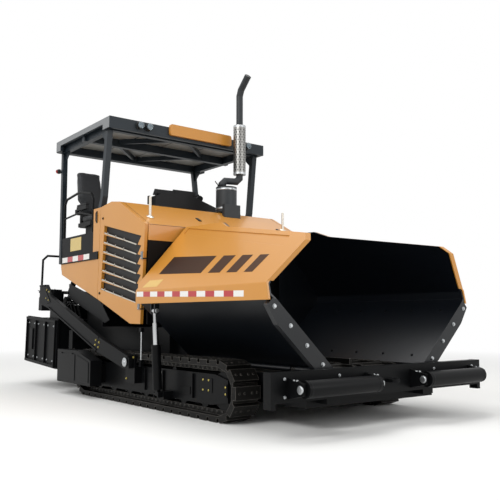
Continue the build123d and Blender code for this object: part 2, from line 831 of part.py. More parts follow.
def wing_outline(set_back):
    # Side view of the wing; the slanting front edge stands back by set_back.
    return [
        (wing_rear_x, 400), (wing_rear_x, 1350), (wing_rear_x - 80, 1400),
        (wing_rear_x - 80, wing_ridge_rear_z), (1400, 2080), (1580, 2010),
        (wing_front_x + 19 - set_back, 1777), (wing_front_x + 93 - set_back, 1700),
        (wing_front_x - 30 - set_back, wing_fold_z + 15),
        (wing_front_x, 1180), (wing_front_x, 400)]


def wing_slope_section(inner, outer):
    # Strip along the upper wall between two distances from its inner face.
    fold, ridge = Vector(*fold_inner()), Vector(*ridge_inner())
    square = Vector(sin(radians(wing_lean_angle)), cos(radians(wing_lean_angle)))
    return [tuple(point + square * reach)[:2]
            for point, reach in ((fold, inner), (fold, outer), (ridge, outer), (ridge, inner))]


def make_wing_shell():
    with BuildPart() as shell:
        with BuildSketch(Plane.YZ.offset(wing_rear_x - 100)) as section:
            with BuildLine():
                Polyline((wing_outer_y - wing_plate, wing_skirt_low_z), fold_inner(), ridge_inner())
                offset(amount=wing_plate, side=Side.RIGHT)
            make_face()
        extrude(section.sketch, amount=wing_front_x - wing_rear_x + 200)
        along_y(wing_outline(0), 0, wing_outer_y + 50, mode=Mode.INTERSECT)
        # Sunk band along the top of the sloping wall.
        lean = radians(wing_lean_angle)
        origin = (0, fold_inner()[0] + wing_plate * sin(lean), fold_inner()[1] + wing_plate * cos(lean))
        slope = Plane(origin=origin, x_dir=(1, 0, 0), z_dir=(0, sin(lean), cos(lean)))
        band = [(x, (origin[2] - z) / sin(lean))
                for x, z in ((wing_rear_x + 15, 2085), (wing_front_x - 185, 1771),
                             (wing_front_x - 164, 1667), (wing_rear_x + 15, 2010))]
        extrude(outline(slope, band), amount=-wing_band_depth, mode=Mode.SUBTRACT)
        # Flange that closes the slanting front edge over the liner.
        strip_outline = outline(Plane.YZ.offset(wing_front_x - 160),
                                wing_slope_section(-wing_flange_depth, 1))
        strip = extrude(strip_outline, amount=300, mode=Mode.PRIVATE)
        front = wing_outline(0)[6:9]
        edge = front + [(x - wing_flange, z) for x, z in reversed(front)]
        edge_plate = extrude(outline(Plane.XZ, edge), amount=-wing_outer_y - 50, mode=Mode.PRIVATE)
        add(strip & edge_plate)
    return shell.part


def make_wing_liner():
    corner_along = (wing_outer_y - wing_plate - wing_hinge_y + 25 * floor_sin) / floor_cos
    corner = on_wing_floor(corner_along, 25)
    ridge_share = (wing_ridge_rear_z - 10 - fold_inner()[1]) / (ridge_inner()[1] - fold_inner()[1])
    ridge_y = fold_inner()[0] + ridge_share * (ridge_inner()[0] - fold_inner()[0])
    with BuildPart() as liner:
        with BuildSketch(Plane.YZ.offset(wing_rear_x - 100)) as section:
            with BuildLine():
                Polyline(on_wing_floor(-15, 25), corner, fold_inner(), ridge_inner())
                offset(amount=wing_plate, side=Side.LEFT)
            make_face()
        extrude(section.sketch, amount=wing_front_x - wing_rear_x + 200)
        along_y(wing_outline(wing_flange), 0, wing_outer_y + 50, mode=Mode.INTERSECT)
        # Front beam under the floor.
        beam_end = corner_along - 40
        along_x([on_wing_floor(25, -wing_beam_depth), on_wing_floor(25, 30), on_wing_floor(beam_end, 30),
                 on_wing_floor(beam_end, -60), on_wing_floor(beam_end - 200, -wing_beam_depth)],
                wing_front_x - 60, wing_front_x)
        # Plate that closes the rear end.
        along_x([on_wing_floor(60, 30), corner, fold_inner(), (ridge_y, wing_ridge_rear_z - 10),
                 (ridge_y + 10, 1300)], wing_rear_x, wing_rear_x + 12)
        # Hinge tubes round the pin, between the brackets.
        pin_ends = (wing_rear_x + 10, wing_front_x - 80)
        stops = [pin_ends[0]]
        for bracket_x in hinge_brackets_x:
            stops += [bracket_x - hinge_bracket_half - 6, bracket_x + hinge_bracket_half + 6]
        stops.append(pin_ends[1])
        for start_x, end_x in zip(stops[::2], stops[1::2]):
            with BuildSketch(Plane.YZ.offset(start_x)) as tube:
                with Locations((wing_hinge_y, wing_hinge_z)):
                    RegularPolygon(28, roller_sides)
            extrude(tube.sketch, amount=end_x - start_x)
        rod_x(wing_hinge_y, wing_hinge_z, wing_pin_radius, *pin_ends)
        # Lugs of the cylinder's rod.
        for lug_x in (wing_cylinder_x - 45, wing_cylinder_x + 30):
            lug_low = wing_eye_z - 28
            inner_y, outer_y = wing_eye_y - 30, wing_outer_y - 1
            lug_along = (inner_y - wing_hinge_y + 30 * floor_sin) / floor_cos
            along_x([(inner_y, lug_low), (outer_y, lug_low), (outer_y, wing_skirt_low_z - 10),
                     (wing_outer_y - wing_plate - 1, wing_skirt_low_z - 1),
                     (wing_outer_y - wing_plate - 1, corner[1] + 8),
                     on_wing_floor(lug_along, 30)], lug_x, lug_x + 15)
    return liner.part


# ---- Wing cylinders ----

def wing_cylinder_plane():
    foot = (wing_cylinder_x, wing_foot_y, wing_foot_z)
    return Plane(origin=foot, x_dir=(1, 0, 0),
                 z_dir=(0, wing_eye_y - wing_foot_y, wing_eye_z - wing_foot_z))


def wing_cylinder_length():
    return sqrt((wing_eye_y - wing_foot_y) ** 2 + (wing_eye_z - wing_foot_z) ** 2)


def make_wing_barrel():
    axis = wing_cylinder_plane()
    with BuildPart() as barrel:
        with BuildSketch(axis.offset(wing_barrel_start)) as bore:
            Circle(wing_barrel_radius)
            Circle(wing_stage_radius + 0.5, mode=Mode.SUBTRACT)
        extrude(bore.sketch, amount=wing_barrel_length)
        with BuildSketch(axis.offset(wing_barrel_start)) as plug:
            Circle(wing_barrel_radius)
        extrude(plug.sketch, amount=wing_barrel_plug)
        rod_x(wing_foot_y, wing_foot_z, wing_boss_radius, wing_cylinder_x - 34.5, wing_cylinder_x + 34.5)
        with BuildSketch(axis) as neck:
            Rectangle(50, 40)
        extrude(neck.sketch, amount=wing_barrel_start + 5)
    return barrel.part


def make_wing_rod():
    axis = wing_cylinder_plane()
    length = wing_cylinder_length()
    with BuildPart() as rod:
        with BuildSketch(axis.offset(wing_rod_start)) as stage:
            Circle(wing_stage_radius)
        extrude(stage.sketch, amount=wing_rod_step - wing_rod_start)
        with BuildSketch(axis.offset(wing_rod_step)) as tip:
            Circle(wing_tip_radius)
        extrude(tip.sketch, amount=length - wing_rod_step)
        rod_x(wing_eye_y, wing_eye_z, wing_boss_radius, wing_cylinder_x - 22, wing_cylinder_x + 22)
    return rod.part


# ---- Bumper and push rollers ----

def make_bumper():
    with BuildPart() as bumper:
        block((bumper_rear_x, bumper_front_x), (-1450, 1450), (300, 560))
        for side in (RIGHT, LEFT):
            block((bumper_rear_x - 20, bumper_front_x), span(side, 1430, 1480), (250, 560))
            block((front_frame_end_x, bumper_rear_x), span(side, 600, 760), (240, 400))
            for inner, outer in ((roller_inner_y - 46, roller_inner_y - 6),
                                 (roller_outer_y + 6, roller_outer_y + 46)):
                low, high = span(side, inner, outer)
                along_y([(bumper_front_x, 330), (bumper_front_x, 510), (roller_axis_x + 30, 470),
                         (roller_axis_x + 30, 370)], low, high)
                rod_y(roller_axis_x, roller_axis_z, 25.4, low, high, mode=Mode.SUBTRACT)
        # Towing lug in the middle, a flat plate with an upright pin hole.
        lug_low = roller_axis_z - tow_lug_plate / 2
        with BuildSketch(Plane.XY.offset(lug_low)) as lug:
            with Locations((tow_lug_x, 0)):
                Circle(tow_lug_radius)
            with Locations(((bumper_front_x + tow_lug_x) / 2, 0)):
                Rectangle(tow_lug_x - bumper_front_x, 2 * tow_lug_radius)
            with Locations((tow_lug_x, 0)):
                Circle(lug_bore_radius, mode=Mode.SUBTRACT)
        extrude(lug.sketch, amount=tow_lug_plate)
    return bumper.part


def make_push_roller(side):
    low, high = span(side, roller_inner_y, roller_outer_y)
    with BuildPart() as roller:
        rod_y(roller_axis_x, roller_axis_z, roller_radius, low, high)
        rod_y(roller_axis_x, roller_axis_z, 25, low - 40, high + 40)
    return roller.part


# ---- Augers ----

def make_auger():
    # A shaft with a screw blade built from flat overlapping flights.
    low, high = 66, auger_half_length
    pitch = (high - low - 40) / auger_turns
    step = 360 / flights_per_turn
    flight_length = 2 * auger_radius * sin(radians(step / 2)) + 4
    reach = sqrt(auger_radius**2 - (flight_length / 2) ** 2) - 1
    tilt = degrees(atan(pitch / (2 * pi * reach)))
    with BuildPart() as auger:
        prism_y(auger_x, auger_z, 47, roller_sides, low, high)
        rod_y(auger_x, auger_z, auger_pin_radius, low - 22, high + 22)
        for number in range(auger_turns * flights_per_turn):
            blade_y = low + 20 + (number + 0.5) * pitch / flights_per_turn
            turned = Location((auger_x, blade_y, auger_z), (0, number * step, 0))
            with Locations(turned * Location((0, 0, (reach + 30) / 2), (0, 0, -tilt))):
                Box(flight_length, flight_thickness, reach - 30)
    return auger.part


# ---- Screed, in its own level frame; x = 0 is the sole's front edge, z = 0 the sole ----

screed_place = Location((screed_front_x, 0, screed_sole_z), (0, screed_tilt, 0))


def make_screed_frame():
    with BuildPart() as frame:
        block((-690, 0), (-screed_half_width, screed_half_width), (0, 110))
        block((-690, -40), (-screed_half_width, screed_half_width), (110, 700))
        block((-600, -250), (-1180, 1180), (700, 900))
        for side in (RIGHT, LEFT):
            block((-560, -180), span(side, 1180, tow_arm_inner_y), (880, 1130))
            for ear_y in (lift_y - 42, lift_y + 27):
                low, high = span(side, ear_y, ear_y + 15)
                along_y([(-340, 880), (-250, 880), (-215, 960), (-215, 1028), (-290, 1028),
                         (-340, 960)], low, high)
        for rail_z in (160, 560):
            block((-699.6, -690), (-screed_half_width + 10, screed_half_width - 10),
                  (rail_z, rail_z + 40))
    return frame.part.moved(screed_place)


def make_tow_arms():
    with BuildPart() as arms:
        along_y([(430, 430), (430, 575), (-350, 775), (-2010, 1340), (-2190, 1500), (-2420, 1500),
                 (-2420, 1230), (-2060, 1150), (-420, 590), (300, 425)],
                tow_arm_inner_y, tow_arm_inner_y + tow_arm_plate)
        rod_y(tow_point_x, tow_point_z, tow_pin_radius + 0.4, tow_arm_inner_y,
              tow_arm_inner_y + tow_arm_plate, mode=Mode.SUBTRACT)
        mirror(about=Plane.XZ)
    return arms.part


def make_screed_deck():
    with BuildPart() as deck:
        block((-1120, -500), (-1170, 1170), (1060, 1090))
        for side in (RIGHT, LEFT):
            block((-590, -540), span(side, 400, 460), (900, 1060))
            block((-590, -540), span(side, 1000, 1060), (900, 1060))
        tube_path([(-1090, -1140, 1085), (-1090, -1140, 1650), (-1090, 1140, 1650),
                   (-1090, 1140, 1085)], rail_radius, rail_sides, rail_bend)
    return deck.part.moved(screed_place)


def make_screed_extension(side):
    with BuildPart() as extension:
        block((-1150, -700), span(side, 20, screed_half_width), (0, 110))
        block((-1150, -700), span(side, 20, screed_half_width), (110, 650))
        block((-1220, -20), span(side, screed_half_width + 10, screed_half_width + 40), (0, 700))
        block((-1150, -700), span(side, screed_half_width, screed_half_width + 10), (0, 650))
        block((-1190, -1150), span(side, 500, 900), (300, 950))
        # Crank of the sole's height, the machine's rearmost point.
        rod_between((-1150, side * 760, crank_z), (-crank_reach, side * 760, crank_z), crank_radius)
        rod_between((-crank_reach + 40, side * 760, crank_z), (-crank_reach + 40, side * 760, crank_z + 160),
                    crank_radius)
    return extension.part.moved(screed_place)


# ---- Screed lift cylinders ----


def lift_axis():
    start = Vector(lift_head[0], lift_y, lift_head[1])
    end = Vector(lift_eye[0], lift_y, lift_eye[1])
    return start, (end - start).normalized(), (end - start).length


def make_lift_barrels():
    start, direction, length = lift_axis()
    with BuildPart() as barrels:
        with BuildSketch(Plane(origin=start + direction * 15, x_dir=(0, 1, 0), z_dir=direction)) as neck:
            Rectangle(40, 34)
        extrude(neck.sketch, amount=47)
        with BuildSketch(Plane(origin=start + direction * 60, x_dir=(0, 1, 0), z_dir=direction)) as tube:
            RegularPolygon(lift_barrel_radius, end_wheel_sides)
        extrude(tube.sketch, amount=290)
        prism_y(lift_head[0], lift_head[1], lift_boss_radius, roller_sides, lift_y - 25, lift_y + 25)
        rod_between(start + direction * 80, start + direction * 360, lift_rod_radius + 0.5,
                    mode=Mode.SUBTRACT)
        rod_y(lift_head[0], lift_head[1], lift_pin_radius + 0.4, lift_y - 30, lift_y + 30,
              mode=Mode.SUBTRACT)
        mirror(about=Plane.XZ)
    return barrels.part


def make_lift_rods():
    start, direction, length = lift_axis()
    with BuildPart() as rods:
        rod_between(start + direction * 100, start + direction * length, lift_rod_radius)
        prism_y(lift_eye[0], lift_eye[1], lift_boss_radius, roller_sides, lift_y - 22, lift_y + 22)
        mirror(about=Plane.XZ)
    return rods.part


both_sides = ((RIGHT, "right"), (LEFT, "left"))


def mirrored(part):
    return part.mirror(Plane.XZ)


for side, side_name in both_sides:
    save(make_track(side), f"track_{side_name}")
    save(make_louvre_door(side), f"louvre_door_{side_name}")
    save(make_push_roller(side), f"push_roller_{side_name}")
    save(make_screed_extension(side), f"screed_extension_{side_name}")

# Built for the left side, mirrored for the right.
for make_piece, name in (
        (make_auger, "auger"), (make_wing_shell, "wing_shell"), (make_wing_liner, "wing_liner"),
        (make_wing_barrel, "wing_cylinder"), (make_wing_rod, "wing_rod")):
    piece = make_piece()
    save(piece, f"{name}_left")
    save(mirrored(piece), f"{name}_right")

for make_piece, name in (
        (make_track_wheels, "track_wheels"), (make_track_frames, "track_frames"),
        (make_main_frame, "main_frame"), (make_bulkheads, "bulkheads"),
        (make_auger_hanger, "auger_hanger"), (make_conveyor_floor, "conveyor_floor"),
        (make_conveyor_chains, "conveyor_chains"),
        (make_engine, "engine"), (make_hood, "hood"), (make_side_panels, "side_panels"),
        (make_deck, "operator_deck"), (make_deck_skirts, "deck_skirts"), (make_console, "console"),
        (make_seat_base, "seat_base"), (make_seat_cushions, "seat_cushions"),
        (make_handrails, "handrails"), (make_roof_posts, "roof_posts"), (make_roof_top, "roof_top"),
        (make_roof_rim, "roof_rim"), (make_roof_visor, "roof_visor"), (make_roof_lamps, "roof_lamps"),
        (make_exhaust, "exhaust"), (make_exhaust_sleeve, "exhaust_sleeve"),
        (make_side_boxes, "side_boxes"),
        (make_bumper, "bumper"), (make_screed_frame, "screed_frame"), (make_tow_arms, "tow_arms"),
        (make_screed_deck, "screed_deck"), (make_lift_barrels, "lift_barrels"),
        (make_lift_rods, "lift_rods")):
    save(make_piece(), name)
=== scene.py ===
import bpy
import bmesh
import math
from mathutils import Matrix, Vector


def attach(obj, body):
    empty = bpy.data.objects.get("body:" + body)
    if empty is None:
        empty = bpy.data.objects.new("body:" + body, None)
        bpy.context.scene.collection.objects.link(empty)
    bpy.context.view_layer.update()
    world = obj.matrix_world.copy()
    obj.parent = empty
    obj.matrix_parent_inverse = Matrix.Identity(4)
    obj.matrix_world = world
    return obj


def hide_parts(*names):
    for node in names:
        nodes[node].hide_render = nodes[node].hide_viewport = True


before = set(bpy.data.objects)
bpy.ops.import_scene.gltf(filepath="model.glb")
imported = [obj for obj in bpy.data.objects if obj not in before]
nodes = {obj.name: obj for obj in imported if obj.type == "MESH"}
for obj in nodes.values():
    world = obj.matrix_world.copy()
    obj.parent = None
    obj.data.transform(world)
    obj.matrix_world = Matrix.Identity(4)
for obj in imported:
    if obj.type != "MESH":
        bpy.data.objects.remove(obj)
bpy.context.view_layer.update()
print("paver frame loaded,", len(nodes), "nodes")


def toLinear(hexCode):  # sRGB hex to the linear colour a shader takes
    parts = [int(hexCode[i:i + 2], 16) / 255 for i in (1, 3, 5)]
    return (*(p / 12.92 if p <= 0.04045 else ((p + 0.055) / 1.055) ** 2.4 for p in parts), 1.0)


# a colour mix takes its factor at 0 and its colours at 6 and 7
def setUp(node, settings, links):  # a node alone stands for its first output in use
    for key, value in settings.items():
        value = toLinear(value) if str(value)[0] == "#" else value
        if isinstance(key, int) or key in node.inputs:
            node.inputs[key].default_value = value
        else:
            setattr(node, key, value)
    for key, source in links.items():
        if hasattr(source, "outputs"):
            source = next(out for out in source.outputs if out.enabled)
        node.id_data.links.new(source, node.inputs[key])


def addNode(tree, kind, settings={}, links={}):  # one shader node with its settings and links
    node = tree.nodes.new("ShaderNode" + kind)
    setUp(node, settings, links)
    return node


def newMaterial(name, settings):  # principled material, object space in metres
    material = bpy.data.materials.new(name)
    material.use_nodes = True
    tree = material.node_tree
    shader = tree.nodes["Principled BSDF"]
    setUp(shader, settings, {})
    return material, tree, shader, addNode(tree, "TexCoord").outputs["Object"]


def perMetre(millimetres):  # a pattern's scale from its real size
    return 1000 / millimetres


enamel = {"cloud": 650, "grit": 60, "peel": 9, "peelDepth": 0.001, "dustAndSheenFades": 1.1, "dustAndSheenFull": 0.1}


def enamelPaint(name, finish):
    # Two-pack enamel sprayed on sheet steel: smooth, a faint orange peel, road dust low down and on ledges;
    # on the hopper plate this mix is a painted sheen.
    material, tree, shader, place = newMaterial(name, {"Roughness": finish["roughness"], "IOR": 1.5,
        "Specular IOR Level": finish["sheen"], "Coat Weight": finish["clearCoat"], "Coat Roughness": 0.12})
    cloud = addNode(tree, "TexNoise", {"Scale": perMetre(enamel["cloud"]), "Detail": 4.0},
        {"Vector": place})
    tint = addNode(tree, "Mix", {"data_type": "RGBA", 6: finish["colour"], 7: finish["shade"]}, {0: cloud})
    grit = addNode(tree, "TexNoise", {"Scale": perMetre(enamel["grit"]), "Detail": 8.0, "Roughness": 0.7},
        {"Vector": place})
    facing = addNode(tree, "NewGeometry")
    axes = addNode(tree, "SeparateXYZ", {}, {"Vector": facing.outputs["Normal"]})
    spot = addNode(tree, "SeparateXYZ", {}, {"Vector": place})
    low = addNode(tree, "MapRange", {"From Min": enamel["dustAndSheenFades"], "From Max": enamel["dustAndSheenFull"],
        "To Max": finish["dustAndSheenLow"]}, {"Value": spot.outputs["Z"]})
    ledge = addNode(tree, "MapRange", {"From Min": 0.6, "To Max": finish["dustAndSheenTop"]},
        {"Value": axes.outputs["Z"]})
    dustAndSheenAmount = addNode(tree, "Math", {"operation": "ADD"}, {0: low, 1: ledge})
    dustAndSheenMask = addNode(tree, "Math", {"operation": "MULTIPLY", "use_clamp": True}, {0: dustAndSheenAmount, 1: grit})
    coloured = addNode(tree, "Mix", {"data_type": "RGBA", 7: finish["dustAndSheen"]}, {0: dustAndSheenMask, 6: tint})
    peel = addNode(tree, "TexNoise", {"Scale": perMetre(enamel["peel"]), "Detail": 2.0}, {"Vector": place})
    soft = addNode(tree, "Bevel", {"samples": 4, "Radius": finish["edge"] / 1000})
    bump = addNode(tree, "Bump", {"Strength": 0.04, "Distance": enamel["peelDepth"]},
        {"Height": peel, "Normal": soft})
    setUp(shader, {}, {"Base Color": coloured, "Normal": bump})
    return material


steel = {"pits": 18, "pitDepth": 0.002, "rubPatches": 120, "edge": 0.003, "turning": 4, "lineDepth": 0.0005}


def castSteel(name, finish):
    # Rolled and cast track steel: dull oxide, small pits, bright rubbed edges.
    material, tree, shader, place = newMaterial(name, {"Metallic": finish["metallic"],
        "Specular IOR Level": finish["sheen"]})
    pits = addNode(tree, "TexNoise", {"Scale": perMetre(steel["pits"]), "Detail": 8.0, "Roughness": 0.65},
        {"Vector": place})
    rub = addNode(tree, "TexNoise", {"Scale": perMetre(steel["rubPatches"]), "Detail": 5.0},
        {"Vector": place})
    tint = addNode(tree, "Mix", {"data_type": "RGBA", 6: finish["colour"], 7: finish["shade"]}, {0: rub})
    gloss = addNode(tree, "MapRange", {"From Min": 0.3, "From Max": 0.7,
        "To Min": finish["roughness"] - 0.08, "To Max": finish["roughness"] + 0.14}, {"Value": pits})
    soft = addNode(tree, "Bevel", {"samples": 4, "Radius": steel["edge"]})
    # steel is rubbed bright where a rounded edge turns away from its flat face
    wide = addNode(tree, "Bevel", {"samples": 6, "Radius": finish["rubWidth"] / 1000})
    flat = addNode(tree, "NewGeometry")
    turned = addNode(tree, "VectorMath", {"operation": "DOT_PRODUCT"}, {0: wide, 1: flat.outputs["Normal"]})
    edge = addNode(tree, "MapRange", {"From Min": 0.985, "From Max": 0.86}, {"Value": turned})
    worn = addNode(tree, "Math", {"operation": "MULTIPLY", "use_clamp": True}, {0: edge, 1: rub})
    bright = addNode(tree, "Mix", {"data_type": "RGBA", 7: finish["rubbed"]}, {0: worn, 6: tint})
    bump = addNode(tree, "Bump", {"Strength": finish["pitting"], "Distance": steel["pitDepth"]},
        {"Height": pits, "Normal": soft})
    setUp(shader, {}, {"Base Color": bright, "Roughness": gloss, "Normal": bump})
    return material


def barSteel(name, colour, roughness):
    # Turned and plated steel: fine lines in its gloss, a clean mirror-like sheen.
    material, tree, shader, place = newMaterial(name, {"Metallic": 1.0, "Base Color": colour})
    lines = addNode(tree, "TexNoise", {"Scale": perMetre(steel["turning"]), "Detail": 3.0},
        {"Vector": place})
    gloss = addNode(tree, "MapRange", {"To Min": roughness - 0.05, "To Max": roughness + 0.08},
        {"Value": lines})
    bump = addNode(tree, "Bump", {"Strength": 0.03, "Distance": steel["lineDepth"]}, {"Height": lines})
    setUp(shader, {}, {"Roughness": gloss, "Normal": bump})
    return material


def mouldedPlastic(name, colour, roughness, grainSize, sheen=0.5):
    # Injection-moulded ABS or rubber: even colour, leathery mould grain that breaks up the shine.
    material, tree, shader, place = newMaterial(name, {"Base Color": colour, "Roughness": roughness,
        "IOR": 1.52, "Specular IOR Level": sheen})
    grain = addNode(tree, "TexVoronoi", {"Scale": perMetre(grainSize)}, {"Vector": place})
    bump = addNode(tree, "Bump", {"Strength": 0.25, "Distance": 0.0006}, {"Height": grain})
    setUp(shader, {}, {"Normal": bump})
    return material


# each enamel's values in this order; the edge radius is in millimetres
enamelTerms = ("colour", "shade", "dustAndSheen", "roughness", "sheen", "clearCoat", "dustAndSheenLow", "dustAndSheenTop", "edge")
enamels = {
    "orange enamel": ("#C98A34", "#C0822E", "#A8916C", 0.36, 0.5, 0.3, 0.12, 0.02, 4),
    "black chassis enamel": ("#0C0D0F", "#08090A", "#3A3733", 0.4, 0.09, 0.03, 0.03, 0.03, 3),
    "charcoal enamel": ("#101113", "#0B0C0D", "#3A3733", 0.45, 0.09, 0.02, 0.03, 0.03, 3),
    "slate grey enamel": ("#1F272E", "#182026", "#5A5A57", 0.45, 0.3, 0.05, 0.0, 0.05, 3),
    "pale grey roof enamel": ("#7B7E80", "#707375", "#8A8A86", 0.45, 0.5, 0.1, 0.0, 0.04, 3),
    # hopper plate: black paint whose bluish tint and lighter bluish grey low down are a painted sheen
    "black hopper paint with painted sheen": ("#0A0E14", "#06090D", "#2A2D31", 0.3, 0.4, 0.05, 0.1, 0.02, 3),
    "heat resistant exhaust paint": ("#2E3235", "#1E2225", "#5A5A57", 0.5, 0.4, 0.0, 0.0, 0.05, 3),
}
orangeEnamel, blackEnamel, charcoalEnamel, slateEnamel, roofGrey, linerPlate, exhaustPaint = (
    enamelPaint(name, dict(zip(enamelTerms, values))) for name, values in enamels.items())
trackSteel = castSteel("manganese track steel", {"colour": "#191816", "shade": "#0F0E0D", "metallic": 0.25,
    "sheen": 0.2, "roughness": 0.55, "pitting": 0.5, "rubbed": "#8A8680", "rubWidth": 9})
wornPlate = castSteel("worn abrasion plate", {"colour": "#3A3937", "shade": "#242322", "metallic": 0.85,
    "sheen": 0.5, "roughness": 0.38, "pitting": 0.3, "rubbed": "#9A9791", "rubWidth": 6})
chromedRod = barSteel("hard chromed rod", "#C9CBCD", 0.16)
stainlessSleeve = barSteel("stainless sleeve", "#8E8D8A", 0.3)
blackAbs = mouldedPlastic("black moulded abs", "#121315", 0.55, 3, 0.25)

both = (("_right", -1), ("_left", 1))
# finish, single nodes, nodes with a right and a left one
nodeFinish = (
    (orangeEnamel, "hood side_panels roof_visor", "louvre_door wing_shell"),
    (blackEnamel, "track_wheels track_frames main_frame bulkheads operator_deck handrails side_boxes bumper "
                  "screed_frame screed_deck lift_barrels auger_hanger", "wing_cylinder push_roller"),
    (linerPlate, "", "wing_liner"),
    (exhaustPaint, "exhaust", ""),
    (charcoalEnamel, "engine deck_skirts tow_arms", "screed_extension"),
    (slateEnamel, "roof_posts roof_top roof_rim", ""),
    (trackSteel, "", "track"),
    (wornPlate, "conveyor_floor conveyor_chains", "auger"),
    (chromedRod, "lift_rods", "wing_rod"),
    (stainlessSleeve, "exhaust_sleeve roof_lamps", ""),
    (blackAbs, "console seat_base seat_cushions", ""),
)
for finish, single, paired in nodeFinish:
    for name in single.split() + [node + hand for node in paired.split() for hand, side in both]:
        mesh = nodes[name].data
        mesh.materials.clear()
        mesh.materials.append(finish)
print("finishes on the frame")


form = bmesh.new()  # the piece being drawn
scene = bpy.context.scene


def newObject(name, data):
    item = bpy.data.objects.new(name, data)
    scene.collection.objects.link(item)
    return item


def formObject(name):  # an object made of the form, which is left empty for the next piece
    mesh = bpy.data.meshes.new(name)
    form.to_mesh(mesh)
    form.clear()
    return newObject(name, mesh)


def placePiece(name, material, body="chassis", edge=0.0, smooth=False):  # the form rides on a body
    bmesh.ops.recalc_face_normals(form, faces=form.faces)
    piece = formObject(name)
    piece.data.materials.append(material)
    if smooth:
        piece.data.shade_smooth()
    if edge:
        rounded = piece.modifiers.new("edges", "BEVEL")
        rounded.width = edge
        rounded.segments = 2
        rounded.limit_method = "ANGLE"
        rounded.angle_limit = math.radians(35)
    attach(piece, body)


def addPrism(outline, reach):  # closed outline pushed along one vector
    lower = [form.verts.new(Vector(p)) for p in outline]
    upper = [form.verts.new(Vector(p) + Vector(reach)) for p in outline]
    form.faces.new(lower[::-1])
    form.faces.new(upper)
    for k in range(len(outline)):
        n = (k + 1) % len(outline)
        form.faces.new((lower[k], lower[n], upper[n], upper[k]))


def addSlab(low, high):  # block between two corners
    (x0, y0, z0), (x1, y1, z1) = low, high
    addPrism([(x0, y0, z0), (x1, y0, z0), (x1, y1, z0), (x0, y1, z0)], (0, 0, z1 - z0))


def addSidePlate(side, face, thick, outline):  # outline in x and z, raised outwards from a side face
    addPrism([(x, side * face, z) for x, z in outline], (0, side * thick, 0))


def addSideBox(side, face, thick, x0, x1, z0, z1):
    addSidePlate(side, face, thick, ((x0, z0), (x1, z0), (x1, z1), (x0, z1)))


def skinRings(rings):  # faces from ring to ring and a cap at each end
    for lower, upper in zip(rings, rings[1:]):
        for k in range(len(lower)):
            n = (k + 1) % len(lower)
            form.faces.new((lower[k], lower[n], upper[n], upper[k]))
    form.faces.new(rings[0][::-1])
    form.faces.new(rings[-1])


def addLathe(profile, origin, axis, steps=28):  # (radius, height) rows turned about an axis
    turn = Vector(axis).normalized().to_track_quat("Z", "Y").to_matrix().to_4x4()
    place = Matrix.Translation(Vector(origin)) @ turn
    angles = [2 * math.pi * k / steps for k in range(steps)]
    skinRings([[form.verts.new(place @ Vector((radius * math.cos(a), radius * math.sin(a), height)))
        for a in angles] for radius, height in profile])


def bandProfile(inner, outer, high, slope):  # a strap with sloped rims
    return [(inner, 0), (outer, slope), (outer, high - slope), (inner, high)]


def addBolt(spot, axis, size):  # washer with a chamfered hexagon head
    addLathe([(size * 1.05, 0), (size * 1.05, size * 0.16), (size, size * 0.2)], spot, axis, 20)
    lift = Vector(spot) + Vector(axis).normalized() * size * 0.18
    addLathe([(size * 0.86, 0), (size * 0.86, size * 0.5), (size * 0.7, size * 0.62)], lift, axis, 6)


def addSideBolts(side, face, size, spots):
    for x, z in spots:
        addBolt((x, side * face, z), (0, side, 0), size)


def addTube(points, radius, steps=12):  # round bar through the points
    points = [Vector(p) for p in points]
    rings = []
    side = None
    angles = [2 * math.pi * j / steps for j in range(steps)]
    for k, point in enumerate(points):
        ahead = (points[min(k + 1, len(points) - 1)] - points[max(k - 1, 0)]).normalized()
        if side is None:
            side = ahead.orthogonal().normalized()
        side = (side - ahead * side.dot(ahead)).normalized()
        other = ahead.cross(side)
        rings.append([form.verts.new(point + radius * (side * math.cos(a) + other * math.sin(a)))
            for a in angles])
    skinRings(rings)


def bentRoute(points, bend, parts=5):  # corners rounded over the length 'bend'
    points = [Vector(p) for p in points]
    route = [points[0]]
    for before, corner, after in zip(points, points[1:], points[2:]):
        start = corner + (before - corner).normalized() * bend
        end = corner + (after - corner).normalized() * bend
        for k in range(parts + 1):
            t = k / parts
            route.append(start * (1 - t) ** 2 + corner * 2 * t * (1 - t) + end * t ** 2)
    route.append(points[-1])
    return route


# distance from the middle of the machine to each side face that carries parts, with 0.3 mm of air
skin = {"body": 1.2503, "step": 1.2643, "skirt": 1.4203, "sideBox": 1.4203, "trackFrame": 1.1923,
    "towArm": 1.3503, "endPlate": 1.2903, "knuckle": 1.2623, "roof": 1.2813}

tape = {"white": "#E9E7E2", "red": "#B3262B", "grain": 5.0, "thick": 0.0012, "skirtStart": 0.722,
    "skirtEnd": 2.71, "skirtRear": 1.25, "skirtFront": 1.203, "high": 0.056, "count": 13,
    "stepStart": -1.80, "stepEnd": -0.90, "stepCount": 5, "stepLow": 1.795, "stepTop": 1.868}


def tapeFilm(name, colour):  # retroreflective film: tiny cells under a clear coat
    material, tree, shader, place = newMaterial(name, {"Roughness": 0.35, "Coat Weight": 0.4,
        "Coat Roughness": 0.1})
    cells = addNode(tree, "TexVoronoi", {"Scale": perMetre(tape["grain"]), "feature": "DISTANCE_TO_EDGE"},
        {"Vector": place})
    line = addNode(tree, "MapRange", {"From Max": 0.12, "To Min": 0.82}, {"Value": cells})
    shade = addNode(tree, "Mix", {"data_type": "RGBA", "blend_type": "MULTIPLY", 0: 1.0, 6: colour},
        {7: line})
    setUp(shader, {}, {"Base Color": shade})
    return material


